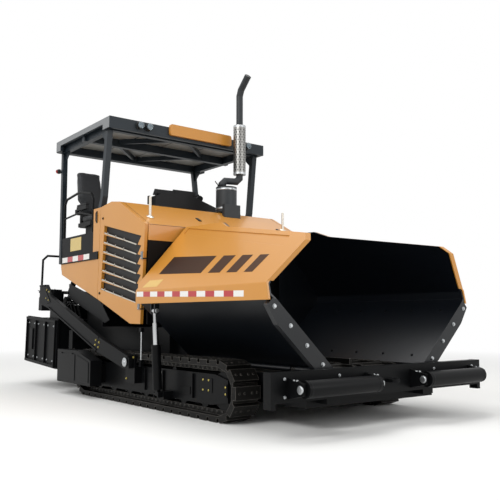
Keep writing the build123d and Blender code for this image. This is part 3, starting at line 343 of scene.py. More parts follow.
whiteFilm = tapeFilm("white reflective film", tape["white"])
redFilm = tapeFilm("red reflective film", tape["red"])
tapeStep = (tape["skirtEnd"] - tape["skirtStart"]) / tape["count"]
tapeDrop = (tape["skirtFront"] - tape["skirtRear"]) / tape["count"]
blockLength = (tape["stepEnd"] - tape["stepStart"]) / tape["stepCount"]
films = (("white", whiteFilm, 0), ("red", redFilm, 1))  # colour, film, first block
for hand, side in both:
    for colour, film, first in films:
        for k in range(first, tape["count"], 2):
            foot = [(tape["skirtStart"] + n * tapeStep, tape["skirtRear"] + n * tapeDrop)
                for n in (k, k + 1)]
            head = [(x, z + tape["high"]) for x, z in foot[::-1]]
            addSidePlate(side, skin["skirt"], tape["thick"], foot + head)
        placePiece("wing_tape_" + colour + hand, film, "wing" + hand)
        for k in range(first, tape["stepCount"], 2):
            start = tape["stepStart"] + k * blockLength
            addSideBox(side, skin["step"], tape["thick"], start, start + blockLength,
                tape["stepLow"], tape["stepTop"])
        placePiece("step_tape_" + colour + hand, film)

stripe = {"colour": "#2B1507", "fade": "#452A15", "rearTop": (0.86, 1.70), "rearLow": (0.93, 1.50),
    "frontTop": (2.83, 1.585), "frontLow": (2.86, 1.425), "lean": 0.10,
    "bars": ((0.0, 0.46), (0.53, 0.64), (0.70, 0.79), (0.85, 0.92)), "thick": 0.0008}


def stripePaint(name):  # sprayed brown stripe, slightly lighter towards the front
    material, tree, shader, place = newMaterial(name, {"Roughness": 0.5, "IOR": 1.5,
        "Specular IOR Level": 0.2})
    spot = addNode(tree, "SeparateXYZ", {}, {"Vector": place})
    along = addNode(tree, "MapRange", {"From Min": 1.2, "From Max": 2.8}, {"Value": spot.outputs["X"]})
    tint = addNode(tree, "Mix", {"data_type": "RGBA", 6: stripe["colour"], 7: stripe["fade"]}, {0: along})
    setUp(shader, {}, {"Base Color": tint})
    return material


brownEnamel = stripePaint("brown stripe enamel")
wingSlope = {"edgeY": 1.4149, "edgeZ": 1.3254, "lean": math.radians(48), "gap": 0.0003}
slopeOut, slopeUp = math.sin(wingSlope["lean"]), math.cos(wingSlope["lean"])


def addSlopeFilm(side, outline):  # film on the wing's upper wall, from an outline in x and z
    corners = []
    for x, z in outline:
        reach = (z - wingSlope["edgeZ"]) / slopeOut
        corners.append(Vector((x,
            side * (wingSlope["edgeY"] - reach * slopeUp + wingSlope["gap"] * slopeOut),
            z + wingSlope["gap"] * slopeUp)))
    addPrism(corners, (0, side * slopeOut * stripe["thick"], slopeUp * stripe["thick"]))


for hand, side in both:
    for start, end in stripe["bars"]:
        corners = []
        for share, edge in ((start, "Top"), (end, "Top"), (end, "Low"), (start, "Low")):
            rear, front = stripe["rear" + edge], stripe["front" + edge]
            # the bars lean the opposite way to the wing's rear edge
            lean = stripe["lean"] if edge == "Top" else 0
            corners.append((rear[0] + share * (front[0] - rear[0]) + lean,
                rear[1] + share * (front[1] - rear[1])))
        addSlopeFilm(side, corners)
    placePiece("wing_stripe" + hand, brownEnamel, "wing" + hand)

plate = {"yellow": "#CDB36A", "pale": "#C9C8C0", "sand": "#D3AE5E", "roughness": 0.4, "mottle": 40,
    "thick": 0.002, "smallThick": 0.0015, "deck": (-1.56, -1.20, 1.945, 2.125),
    "wing": ((0.80, 1.35), (1.12, 1.35), (1.14, 1.43), (0.84, 1.43)),
    "small": ((0.86, 0.91, 0.33, 0.42, "trackFrame"), (-0.62, -0.59, 0.36, 0.43, "sideBox"))}


def printedVinyl(name, colour):  # blank vinyl plate with a fine texture
    material, tree, shader, place = newMaterial(name, {"Roughness": plate["roughness"], "Coat Weight": 0.2})
    mottle = addNode(tree, "TexNoise", {"Scale": perMetre(plate["mottle"]), "Detail": 3.0},
        {"Vector": place})
    shade = addNode(tree, "HueSaturation", {"Color": colour})
    swing = addNode(tree, "MapRange", {"To Min": 0.92, "To Max": 1.06}, {"Value": mottle})
    setUp(shade, {}, {"Value": swing})
    setUp(shader, {}, {"Base Color": shade})
    return material


yellowVinyl, paleVinyl, sandVinyl = (printedVinyl(tone + " blank vinyl", plate[tone])
    for tone in ("yellow", "pale", "sand"))
for hand, side in both:
    addSideBox(side, skin["body"], plate["thick"], *plate["deck"])
    placePiece("blank_plate" + hand, yellowVinyl, edge=0.0006)
    for x0, x1, z0, z1, face in plate["small"]:
        addSideBox(side, skin[face], plate["smallThick"], x0, x1, z0, z1)
    placePiece("small_plates" + hand, paleVinyl, edge=0.0004)
for hand, side in both:
    addSlopeFilm(side, plate["wing"])
    placePiece("wing_label" + hand, sandVinyl, "wing" + hand)
print("tape and plates placed")

louvre = {"mesh": "#0B0C0D", "hole": "#030303", "cell": 9.0, "lip": "#CFC9BE", "count": 7,
    "rearLow": (-0.547, 1.377), "rearTop": (-0.477, 2.217), "frontLow": (0.375, 1.184),
    "frontTop": (0.375, 1.992), "lipFace": 1.2415, "lipHigh": 0.016, "lipThick": 0.0075,
    "hooks": (0.1, 0.36, 0.62), "hook": ((0, 0), (0.016, -0.004), (0.012, 0.03), (0.004, 0.032)),
    "screenFace": 1.2085, "screen": ((-0.566, 1.36), (-0.50, 2.235), (0.55, 2.01), (0.475, 1.16)),
    "screenThick": 0.001, "locks": ((-0.53, 2.30), (-0.59, 1.33)), "handle": (-0.735, -0.70, 2.26, 2.42)}


def expandedMesh(name):  # black expanded steel mesh: diamond holes read as dark cells
    material, tree, shader, place = newMaterial(name, {"Roughness": 0.6})
    cells = addNode(tree, "TexVoronoi", {"Scale": perMetre(louvre["cell"]), "feature": "DISTANCE_TO_EDGE",
        "Randomness": 0.1}, {"Vector": place})
    wires = addNode(tree, "MapRange", {"From Min": 0.05, "From Max": 0.12, "To Min": 1.0, "To Max": 0.0},
        {"Value": cells})
    # the near-black of the holes is painted shade, the dark inside seen through the mesh
    tint = addNode(tree, "Mix", {"data_type": "RGBA", 6: louvre["hole"], 7: louvre["mesh"]}, {0: wires})
    setUp(shader, {}, {"Base Color": tint})
    return material


blackMesh = expandedMesh("black expanded mesh")
paleSteel = barSteel("pale galvanised strip", louvre["lip"], 0.42)
for hand, side in both:
    door = "louvre_door" + hand
    # mesh sheet behind the slots; its near-black holes are painted shade of the door's inside
    addSidePlate(side, louvre["screenFace"], louvre["screenThick"], louvre["screen"])
    placePiece("louvre_screen" + hand, blackMesh, door)
    for k in range(louvre["count"]):
        rear, front = (Vector(louvre[end + "Low"]).lerp(Vector(louvre[end + "Top"]), k / louvre["count"])
            for end in ("rear", "front"))
        # folded lip along the slot's lower edge, with small hooks
        high = Vector((0, louvre["lipHigh"]))
        outlines = [(rear, front, front + high, rear + high)]
        for share in louvre["hooks"]:
            outlines.append([rear.lerp(front, share) + Vector(p) for p in louvre["hook"]])
        for outline in outlines:
            addSidePlate(side, louvre["lipFace"], louvre["lipThick"], outline)
    placePiece("louvre_lips" + hand, paleSteel, door, 0.0008)
    for x, z in louvre["locks"]:
        addLathe([(0.016, 0), (0.016, 0.006), (0.012, 0.01), (0.004, 0.011)], (x, side * skin["body"], z),
            (0, side, 0))
    placePiece("door_locks" + hand, blackAbs, door, smooth=True)
    # upright slot handle in the fixed column
    addSideBox(side, skin["body"], 0.003, *louvre["handle"])
    grip = ((1.25, 2.28), (1.268, 2.28), (1.268, 2.40), (1.25, 2.40))
    addTube(bentRoute([(-0.718, side * y, z) for y, z in grip], 0.012), 0.005)
    placePiece("column_handle" + hand, blackAbs)
print("louvres done")

bolts = {"brass": "#A89A55", "zinc": "#B9BCBE", "roughness": 0.35, "small": 0.014, "large": 0.02,
    "beam": 3.0602, "alongBeam": (0.13, 0.39, 0.65, 0.90),
    "frameFace": 1.1922, "adjusterFace": 1.2902, "armFace": 1.3502,
    "frame": ((2.13, 0.34), (2.13, 0.275), (1.74, 0.39), (1.84, 0.39), (1.74, 0.29), (1.84, 0.29)),
    "adjuster": ((0.27, 0.555), (0.32, 0.555), (0.27, 0.305), (0.43, 0.555)),
    "arm": ((-0.45, 0.735), (-0.36, 0.708), (-0.47, 0.675), (-0.38, 0.648),
        (-2.14, 1.42), (-2.05, 1.39), (-2.15, 1.30), (-2.06, 1.27))}
zincSteel = barSteel("zinc plated bolt", bolts["zinc"], bolts["roughness"])
yellowZinc = barSteel("yellow passivated bolt", bolts["brass"], bolts["roughness"])
wingFloor = {"lean": math.radians(42.6), "edgeY": 0.68, "edgeZ": 0.52}
floorUp, floorOut = math.sin(wingFloor["lean"]), math.cos(wingFloor["lean"])


def underFloor(side, along, above, x):  # a point at the wing's sloping floor
    return Vector((x, side * (wingFloor["edgeY"] + along * floorOut - above * floorUp),
        wingFloor["edgeZ"] + along * floorUp + above * floorOut))


for hand, side in both:
    outwards = (0, side, 0)
    for along in bolts["alongBeam"]:
        addBolt(underFloor(side, along, -0.02, bolts["beam"]), (1, 0, 0), bolts["large"])
    placePiece("wing_beam_bolts" + hand, zincSteel, "wing" + hand)
    # rod eye pin heads
    for x, way in ((1.1253, 1), (1.0347, -1)):
        addLathe([(0.024, 0), (0.024, 0.006), (0.019, 0.009)], (x, side * 1.39, 1.09), (way, 0, 0))
    placePiece("wing_pin_heads" + hand, zincSteel, "wing" + hand)
    addSideBolts(side, bolts["frameFace"], bolts["small"], bolts["frame"])
    addSideBolts(side, bolts["adjusterFace"], bolts["small"], bolts["adjuster"])
    placePiece("track_frame_bolts" + hand, yellowZinc)
    addSideBolts(side, bolts["armFace"], bolts["small"], bolts["arm"])
    placePiece("tow_arm_bolts" + hand, yellowZinc, "screed")
    addLathe([(0.052, 0), (0.052, 0.008), (0.044, 0.013), (0.02, 0.013), (0.016, 0.018)],
        (0.35, side * 1.3602, 0.5), outwards, 36)
    placePiece("tow_pin_cap" + hand, zincSteel)
    for x in (3.24, 3.28):
        for y in (0.305, 1.2962):
            addBolt((x, side * y, 0.49), (0, 0, 1), 0.012)
    for y, way in ((0.304, -side), (1.296, side)):
        addLathe([(0.036, 0), (0.036, 0.008), (0.028, 0.012), (0.01, 0.012)], (3.32, side * y, 0.42),
            (0, way, 0))
    placePiece("roller_pin_caps" + hand, zincSteel)
print("bolts placed")

lamp = {"glass": "#8FA0AA", "red": "#A3201C", "bowl": "#787D81", "roughness": 0.05, "flute": 12,
    "across": (-0.85, -0.715, 0.82, 0.955), "height": 3.56, "marker": (-2.075, -1.175, 3.20),
    "markerAim": (-0.75, -0.65, 0.0)}


def lampGlass(name, colour, transmission):  # moulded lens with fine flutes
    material, tree, shader, place = newMaterial(name, {"Base Color": colour, "Roughness": lamp["roughness"],
        "IOR": 1.49, "Transmission Weight": transmission})
    flutes = addNode(tree, "TexWave", {"Scale": perMetre(lamp["flute"]) / 6.28, "bands_direction": "Y"},
        {"Vector": place})
    bump = addNode(tree, "Bump", {"Strength": 0.4, "Distance": 0.001}, {"Height": flutes.outputs["Fac"]})
    setUp(shader, {}, {"Normal": bump})
    return material


clearLens = lampGlass("clear lamp lens", lamp["glass"], 0.55)
redLens = lampGlass("red lamp lens", lamp["red"], 0.4)
brightBowl = barSteel("aluminised reflector", lamp["bowl"], 0.12)
# part, finish, place in x, sides, and its (radius, height) rows
lampParts = (
    ("bezel", blackAbs, -0.2956, 40,
        ((0.0515, 0.0), (0.0515, 0.01), (0.049, 0.014), (0.046, 0.014), (0.0445, 0.008))),
    ("bowl", brightBowl, -0.2874, 36,
        ((0.04, 0.0), (0.041, 0.002), (0.04, 0.006), (0.022, 0.0035), (0.008, 0.003))),
    ("lens", clearLens, -0.2808, 36,
        ((0.044, 0.0), (0.0435, 0.006), (0.036, 0.011), (0.02, 0.0145), (0.004, 0.0155))),
)
for index, y in enumerate(lamp["across"]):
    for part, material, x, steps, profile in lampParts:
        addLathe(profile, (x, y, lamp["height"]), (1, 0, 0), steps)
        placePiece("roof_lamp_" + part + "_" + str(index), material, smooth=part != "bezel")
addLathe([(0.010, 0), (0.010, 0.05), (0.034, 0.052), (0.036, 0.075), (0.034, 0.082)], lamp["marker"],
    lamp["markerAim"])
placePiece("rear_marker_base", blackAbs, edge=0.0006)
addLathe([(0.033, 0), (0.032, 0.014), (0.025, 0.028), (0.01, 0.036)],
    Vector(lamp["marker"]) + Vector(lamp["markerAim"]).normalized() * 0.0825, lamp["markerAim"])
placePiece("rear_marker_lens", redLens, smooth=True)
addTube(bentRoute([(-2.03, 1.16, 3.06), (-1.93, 1.16, 3.09), (-1.88, 1.13, 3.02)], 0.03), 0.010)
addLathe([(0.02, 0), (0.05, 0.03), (0.056, 0.06), (0.054, 0.064), (0.048, 0.058)], (-1.875, 1.127, 3.03),
    (0.75, -0.2, -0.62))
placePiece("work_lamp_body", blackAbs, edge=0.0006)
print("lamps placed")

exhaust = {"silencer": (-0.15, 0.45), "stack": (-0.107, 0.65), "rows": 17, "rowPitch": 0.0365,
    "firstRow": 3.105, "slotsRound": 14, "slotWide": 0.006, "slotHigh": 0.02, "slotThick": 0.0006,
    "sleeveRadius": 0.0882, "straps": (2.53, 2.80), "sleeveStraps": (3.052, 3.735),
    "tip": (0.093, 0.65, 4.46)}
upwards = (0, 0, 1)
for z in exhaust["straps"]:
    addLathe(bandProfile(0.1485, 0.1505, 0.026, 0.004), (*exhaust["silencer"], z), upwards, 56)
    addSlab((0.0, 0.435, z + 0.002), (0.022, 0.465, z + 0.024))
for z in exhaust["sleeveStraps"]:
    addLathe(bandProfile(0.0885, 0.0905, 0.03, 0.003), (*exhaust["stack"], z), upwards, 44)
placePiece("exhaust_clamps", zincSteel, edge=0.0008)
# punched slots round the heat sleeve, as thin dark inlays of painted shade in the openings
for row in range(exhaust["rows"]):
    for k in range(exhaust["slotsRound"]):
        turn = 2 * math.pi * (k + 0.5 * (row % 2)) / exhaust["slotsRound"]
        out = Vector((math.cos(turn), math.sin(turn), 0))
        across = Vector((-math.sin(turn), math.cos(turn), 0)) * exhaust["slotWide"]
        high = Vector((0, 0, exhaust["slotHigh"]))
        middle = Vector((*exhaust["stack"], exhaust["firstRow"] + row * exhaust["rowPitch"]))
        spot = middle + out * exhaust["sleeveRadius"]
        addPrism([spot - across, spot + across, spot + across + high, spot - across + high],
            out * exhaust["slotThick"])
placePiece("sleeve_slots", blackAbs)
# dark disc across the pipe's mouth: soot, and painted shade of the hollow inside
addLathe([(0.0445, 0.0003), (0.0448, 0.0012), (0.043, 0.002)], exhaust["tip"], (1, 0, 1), 40)
placePiece("stack_mouth", expandedMesh("soot and painted shade inside the pipe"))
# flap valve body and clamp at the silencer's outlet
addLathe(bandProfile(0.062, 0.064, 0.034, 0.004), (-0.19, 0.40, 2.852), upwards, 36)
addSlab((-0.262, 0.375, 2.856), (-0.248, 0.425, 2.90))
addTube([(-0.255, 0.40, 2.885), (-0.275, 0.36, 2.93), (-0.27, 0.34, 2.95)], 0.007)
placePiece("silencer_outlet_collar", blackEnamel, edge=0.0008)

hood = {"crest": (-0.083, 2.463), "front": (0.585, 2.115), "square": (0.462, 0, 0.887), "postX": 0.36,
    "postHigh": 0.245, "postRadius": 0.0165, "latches": ((-0.31, 0.29), (0.96, 0.39)), "seamY": 1.19,
    "seam": 0.0003, "seamThick": 0.0006}


def hoodZ(x):  # height of the hood's front slope
    (crestX, crestZ), (frontX, frontZ) = hood["crest"], hood["front"]
    return crestZ - (x - crestX) * (crestZ - frontZ) / (frontX - crestX)


for y in (-1.06, 1.06):
    base = Vector((hood["postX"], y, hoodZ(hood["postX"])))
    top = base + Vector((0, 0, hood["postHigh"]))
    addLathe([(0.046, 0.0004), (0.046, 0.008), (0.03, 0.014), (0.018, 0.02)], base, hood["square"])
    addTube([base + Vector((0, 0, 0.012)), top], hood["postRadius"], 20)
    addLathe([(hood["postRadius"], 0), (hood["postRadius"], 0.004), (0.011, 0.009)], top, upwards, 20)
placePiece("hood_guide_posts", paleSteel, edge=0.0006)
for y, x in hood["latches"]:
    base = Vector((x, y, hoodZ(x) + 0.0005))
    addPrism([base + Vector(p) for p in ((-0.045, -0.02, 0.0235), (0.045, -0.02, -0.0235),
        (0.045, 0.02, -0.0235), (-0.045, 0.02, 0.0235))], (0.005, 0, 0.0095))
placePiece("hood_latches", blackAbs, edge=0.002)
# dark seams where the lid meets its frame
for y in (-hood["seamY"], hood["seamY"]):
    strip = ((-0.083, -0.002), (0.58, -0.002), (0.58, 0.002), (-0.083, 0.002))
    addPrism([(x, y + half, hoodZ(x) + hood["seam"]) for x, half in strip], (0, 0, hood["seamThick"]))
strip = ((-1, 2.108), (1, 2.108), (1, 2.112), (-1, 2.112))
addPrism([(0.5853, y * hood["seamY"], z) for y, z in strip], (hood["seamThick"], 0, 0))
placePiece("hood_seams", blackAbs)
print("hood and exhaust done")

seat = {"fabric": "#1B1D20", "thread": "#2A2D31", "weave": 2.2, "pressure": 3.5, "frames": 14, "cap": 0.016,
    "cuts": 17, "stitchDeep": 0.007, "stitchWide": 0.009, "fabricMass": 0.35, "stretch": 22, "bend": 4,
    "pad": {"length": 0.385, "width": 0.285, "thick": 0.084, "taper": 0.0, "waist": 1.0,
        "across": (-0.35, 0.3), "along": (-0.6, 0.6), "place": (-1.25, -1.0, 2.401)},
    "back": {"length": 0.64, "width": 0.40, "thick": 0.092, "taper": 0.12, "waist": 0.7,
        "across": (-0.45, 0.0, 0.45), "along": (-0.55, 0.55), "place": (-1.515, -1.0, 2.795), "lean": -102}}


def wovenVinyl(name):  # coated seat fabric with a fine basket weave
    material, tree, shader, place = newMaterial(name, {"Roughness": 0.72, "Sheen Weight": 0.15,
        "Sheen Roughness": 0.5})
    warp, weft = (addNode(tree, "TexWave", {"Scale": perMetre(seat["weave"]) / 6.28,
        "bands_direction": way}, {"Vector": place}) for way in "XY")
    weave = addNode(tree, "Math", {"operation": "MULTIPLY"},
        {0: warp.outputs["Fac"], 1: weft.outputs["Fac"]})
    tint = addNode(tree, "Mix", {"data_type": "RGBA", 6: seat["fabric"], 7: seat["thread"]}, {0: weave})
    bump = addNode(tree, "Bump", {"Strength": 0.35, "Distance": 0.0008}, {"Height": weave})
    setUp(shader, {}, {"Base Color": tint, "Normal": bump})
    return material


seatVinyl = wovenVinyl("woven vinyl")


def stuffedForm(name, cushion):  # box of cloth blown up from inside, lying in its own XY plane
    bmesh.ops.create_cube(form, size=1.0)
    bmesh.ops.subdivide_edges(form, edges=form.edges, cuts=seat["cuts"], use_grid_fill=True)
    for vert in form.verts:
        u, v, w = vert.co * 2
        corner = 1 - 0.10 * max(0.0, abs(u) + abs(v) - 1.55)
        rise = min(1.0, max(0.0, (u + 0.62) / 0.3))
        waist = cushion["waist"] + (1 - cushion["waist"]) * rise * rise * (3 - 2 * rise)
        narrow = (1 - cushion["taper"] * (u + 1) / 2) * waist
        vert.co = Vector((u * cushion["length"] / 2 * corner, v * cushion["width"] / 2 * narrow * corner,
            w * cushion["thick"] / 2 * (1 - 0.35 * max(abs(u), abs(v)) ** 6)))
    piece = formObject(name)
    start = [vert.co.copy() for vert in piece.data.vertices]
    cloth = piece.modifiers.new("stuffing", "CLOTH")
    cloth.settings.use_pressure = True
    cloth.settings.uniform_pressure_force = seat["pressure"]
    cloth.settings.mass = seat["fabricMass"]
    cloth.settings.tension_stiffness = cloth.settings.compression_stiffness = seat["stretch"]
    cloth.settings.bending_stiffness = seat["bend"]
    cloth.settings.effector_weights.gravity = 0
    cloth.point_cache.frame_end = seat["frames"]
    for number in range(1, seat["frames"] + 1):
        scene.frame_set(number)
    solved = piece.evaluated_get(bpy.context.evaluated_depsgraph_get())
    blown = [vert.co.copy() for vert in solved.to_mesh().vertices]
    solved.to_mesh_clear()
    piece.modifiers.remove(cloth)
    scene.frame_set(1)
    for vert, before, after in zip(piece.data.vertices, start, blown):
        move = after - before
        if move.length > seat["cap"]:
            move = move.normalized() * seat["cap"]
        vert.co = before + move
    return piece


def sewnCushion(piece, place, cushion):  # sewn channels, then its place on the seat
    mesh = piece.data
    halfLength, halfWidth = cushion["length"] / 2, cushion["width"] / 2
    for vert in mesh.vertices:
        u, v = vert.co.x / halfLength, vert.co.y / halfWidth
        if vert.co.z > 0.0:
            for line in cushion["across"]:
                away = (u - line) * halfLength / seat["stitchWide"]
                vert.co.z -= seat["stitchDeep"] * math.exp(-away ** 2) * (abs(v) < 0.72)
            for line in cushion["along"]:
                away = (v - line) * halfWidth / seat["stitchWide"]
                vert.co.z -= seat["stitchDeep"] * math.exp(-away ** 2) * (abs(u) < 0.86)
    mesh.transform(place)
    mesh.materials.append(seatVinyl)
    mesh.shade_smooth()
    finer = piece.modifiers.new("finer", "SUBSURF")
    finer.levels = finer.render_levels = 1
    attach(piece, "chassis")


seatPad = stuffedForm("seat_pad", seat["pad"])
sewnCushion(seatPad, Matrix.Translation(seat["pad"]["place"]), seat["pad"])
backPad = stuffedForm("seat_back", seat["back"])
backLean = Matrix.Rotation(math.radians(seat["back"]["lean"]), 4, "Y")
sewnCushion(backPad, Matrix.Translation(seat["back"]["place"]) @ backLean, seat["back"])
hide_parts("seat_cushions")
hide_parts("seat_cushions")
for y in (-1.18, -0.82):
    # moulded armrest pads over the steel arms
    addSlab((-1.48, y - 0.028, 2.5753), (-1.175, y + 0.028, 2.605))
placePiece("armrest_pads", blackAbs, edge=0.008)
print("seat sewn")

console = {"edge": 0.006, "knob": "#8E1F1B", "screen": "#10161B", "face": -0.7604, "buttons": 9,
    "firstButton": -0.36, "buttonPitch": 0.085, "foot": 1.8803, "matTop": 1.886, "ribTop": 1.8885,
    "ribs": 34, "ribPitch": 0.03}
redKnob = mouldedPlastic("red control knob", console["knob"], 0.35, 2)
darkGlass = mouldedPlastic("dark display glass", console["screen"], 0.08, 1)
# moulded hood over the control panel and two folded side boxes
for y0, y1, z0, z1 in ((-0.40, -0.12, 2.738, 2.80), (-0.10, 0.24, 2.76, 2.825)):
    addPrism([(-0.755, y0, z0), (-0.62, y0, z0), (-0.62, y0, z1), (-0.70, y0, z1 + 0.02)],
        (0, y1 - y0, 0.004))
addSlab((-0.775, -0.47, 2.60), (-0.735, -0.435, 2.72))
addSlab((-0.775, 0.605, 2.575), (-0.735, 0.64, 2.64))
placePiece("console_hoods", blackAbs, edge=console["edge"])
for k in range(console["buttons"]):
    spot = (-0.7605, console["firstButton"] + k * console["buttonPitch"], 2.66 + 0.02 * (k % 2))
    addLathe([(0.009, 0), (0.009, 0.008), (0.007, 0.014)], spot, (-1, 0, 0), 16)
placePiece("console_buttons", redKnob)
for y in (-0.20, 0.33):
    addTube([(-0.765, y, 2.70), (-0.80, y, 2.755), (-0.815, y, 2.80)], 0.006)
    addLathe([(0.006, 0), (0.017, 0.01), (0.019, 0.03), (0.012, 0.045)], (-0.814, y, 2.797),
        (-0.3, 0, 0.95), 20)
placePiece("console_levers", blackAbs)
addPrism([(console["face"], y, z) for y, z in ((0.0, 2.675), (0.16, 2.675), (0.16, 2.765), (0.0, 2.765))],
    (-0.004, 0, 0))
placePiece("console_display", darkGlass, edge=0.002)
# screws of the pillar's foot
for y in (-0.08, 0.18):
    addBolt((-0.762, y, console["foot"]), upwards, 0.010)
placePiece("console_bolts", zincSteel)
addSlab((-1.84, -1.20, console["foot"]), (-0.82, 1.20, console["matTop"]))
for k in range(console["ribs"]):
    x = -1.82 + k * console["ribPitch"]
    addSlab((x, -1.19, console["matTop"]), (x + 0.008, 1.19, console["ribTop"]))
placePiece("deck_mat", blackAbs)
print("console done")

track = {"runs": 18, "ends": 5, "frontX": 2.07, "rearX": -1.0, "middle": 1.10, "axle": 0.30,
    "reach": 0.2925, "top": 0.5998, "boltsAcross": (-0.105, -0.045, 0.045, 0.105), "chain": 0.212,
    "pinFace": 1.1655, "coverThick": 0.006, "ribThick": 0.022, "ribWide": 0.014, "adjusterY": 1.245,
    "covers": ((1.70, 1.90, 0.27, 0.41), (2.09, 2.15, 0.24, 0.37), (0.62, 0.80, 0.24, 0.40),
        (1.30, 1.50, 0.22, 0.30))}
shoePitch = (track["frontX"] - track["rearX"]) / track["runs"]
for hand, side in both:
    spots = [(Vector((track["rearX"] + (k + 0.5) * shoePitch, 0, track["top"])), upwards)
        for k in range(track["runs"])]
    for wheelX, firstAngle in ((track["frontX"], -90), (track["rearX"], 90)):
        for k in range(track["ends"]):
            angle = math.radians(firstAngle + (k + 0.5) * 180 / track["ends"])
            out = Vector((math.cos(angle), 0, math.sin(angle)))
            spots.append((Vector((wheelX, 0, track["axle"])) + out * track["reach"], out))
    for spot, out in spots:
        for y in track["boltsAcross"]:
            addLathe([(0.013, 0), (0.013, 0.004), (0.009, 0.006)],
                spot + Vector((0, side * track["middle"] + y, 0)), out, 8)
    placePiece("shoe_bolts" + hand, trackSteel)
    # chain links between the shoes and the rollers, seen along the track's edge
    for k in range(2 * track["runs"]):
        for way in (-1, 1):
            spot = (track["rearX"] + (k + 0.5) * shoePitch / 2, side * track["pinFace"],
                track["axle"] + way * track["chain"])
            addLathe([(0.017, 0), (0.017, 0.003), (0.010, 0.005)], spot, (0, side, 0), 10)
    placePiece("link_pins" + hand, wornPlate)
    # stiffening ribs and covers on the outer frame plate
    for cover in track["covers"]:
        addSideBox(side, skin["trackFrame"], track["coverThick"], *cover)
    for x in (0.55, 0.95, 1.55):
        addSideBox(side, skin["trackFrame"], track["ribThick"], x, x + track["ribWide"], 0.19, 0.44)
    placePiece("frame_covers" + hand, blackEnamel, edge=0.0015)
    # thin bright rod of the tow point's height adjuster
    y = side * track["adjusterY"]
    addTube([(0.53, y, 0.53), (0.53, y, 0.86)], 0.010, 16)
    placePiece("adjuster_rod" + hand, chromedRod)
    for z0, z1 in ((0.455, 0.53), (0.85, 0.90)):
        addSlab((0.505, y - 0.022, z0), (0.555, y + 0.022, z1))
    placePiece("adjuster_ends" + hand, blackEnamel, edge=0.004)
    # side box doors, the rear one with its hinges
    addSideBox(side, skin["sideBox"], track["coverThick"], -1.44, -0.92, 0.20, 0.54)
    addSidePlate(side, skin["sideBox"], track["coverThick"],
        ((-0.86, 0.20), (-0.50, 0.20), (-0.50, 0.455), (-0.86, 0.535)))
    for x in (-1.36, -1.02):
        addTube([(x - 0.03, side * 1.4285, 0.545), (x + 0.03, side * 1.4285, 0.545)], 0.007)
    placePiece("side_box_doors" + hand, blackEnamel, edge=0.003)
print("tracks dressed")

hopper = {"bolts": 6, "firstBolt": 0.85, "boltPitch": 0.40, "boltsAlong": (0.10, 0.80), "plate": 0.0452,
    "strands": (0.06, 0.54), "links": 46, "firstLink": -1.10, "linkPitch": 0.08, "linkLow": 0.5453,
    "linkTop": 0.556, "pinZ": 0.551, "bumperFace": 3.1603, "rollerX": 3.32, "rollerZ": 0.42}
for hand, side in both:
    # bolts along the foot and the upper part of the wing's floor
    square = underFloor(side, 0, 1, 0) - underFloor(side, 0, 0, 0)
    for k in range(hopper["bolts"]):
        for along in hopper["boltsAlong"]:
            addBolt(underFloor(side, along, hopper["plate"], hopper["firstBolt"] + k * hopper["boltPitch"]),
                square, bolts["small"])
    placePiece("wing_liner_bolts" + hand, blackEnamel, "wing" + hand)
for hand, side in both:
    for y in hopper["strands"]:
        for k in range(hopper["links"]):
            x = hopper["firstLink"] + k * hopper["linkPitch"]
            # roller chain: link plates and pins on each strand
            for off in (-0.012, 0.012):
                addSlab((x, side * y + off - 0.002, hopper["linkLow"]),
                    (x + 0.055, side * y + off + 0.002, hopper["linkTop"]))
            addTube([(x + 0.008, side * y + end, hopper["pinZ"]) for end in (-0.017, 0.017)], 0.005, 6)
placePiece("conveyor_links", wornPlate)
for hand, side in both:
    for y in (0.68, 1.33):
        for z in (0.35, 0.50):
            addBolt((hopper["bumperFace"], side * y, z), (1, 0, 0), bolts["small"])
placePiece("bumper_bolts", zincSteel)
for hand, side in both:
    for y in (0.372, 1.212):
        addLathe(bandProfile(0.0753, 0.0765, 0.026, 0.004),
            (hopper["rollerX"], side * y, hopper["rollerZ"]), (0, side, 0), 48)
    placePiece("roller_bands" + hand, blackEnamel, "push_roller" + hand)
print("hopper dressed")

roofDress = {"lining": "#8C8A84", "trimThick": 0.003, "low": 3.5795, "high": 3.5845, "screwZ": 3.5792,
    "screwIn": 0.05, "screw": 0.010, "along": ((-2.00, -1.29), (-1.19, -0.55)),
    "across": ((-1.11, -0.56), (-0.54, -0.01), (0.01, 0.54), (0.56, 1.11)),
    "trim": ((-2.095, 3.476), (-1.944, 3.476), (-1.944, 3.55), (-0.535, 3.55),
        (-0.535, 3.476), (-0.346, 3.476), (-0.346, 3.622), (-2.095, 3.622))}
liningSheet = printedVinyl("roof lining sheet", roofDress["lining"])
for hand, side in both:
    # thin pale band over the roof's side, deeper at its corner blocks
    addSidePlate(side, skin["roof"], roofDress["trimThick"], roofDress["trim"])
    placePiece("roof_trim" + hand, roofGrey)
panels = [(x0, x1, y0, y1) for x0, x1 in roofDress["along"] for y0, y1 in roofDress["across"]]
for x0, x1, y0, y1 in panels:
    addSlab((x0, y0, roofDress["low"]), (x1, y1, roofDress["high"]))
placePiece("roof_lining", liningSheet, edge=0.002)
for x0, x1, y0, y1 in panels:
    for y in (y0 + roofDress["screwIn"], y1 - roofDress["screwIn"]):
        for x in (x0 + roofDress["screwIn"], x1 - roofDress["screwIn"]):
            addBolt((x, y, roofDress["screwZ"]), (0, 0, -1), roofDress["screw"])
placePiece("roof_lining_screws", zincSteel)

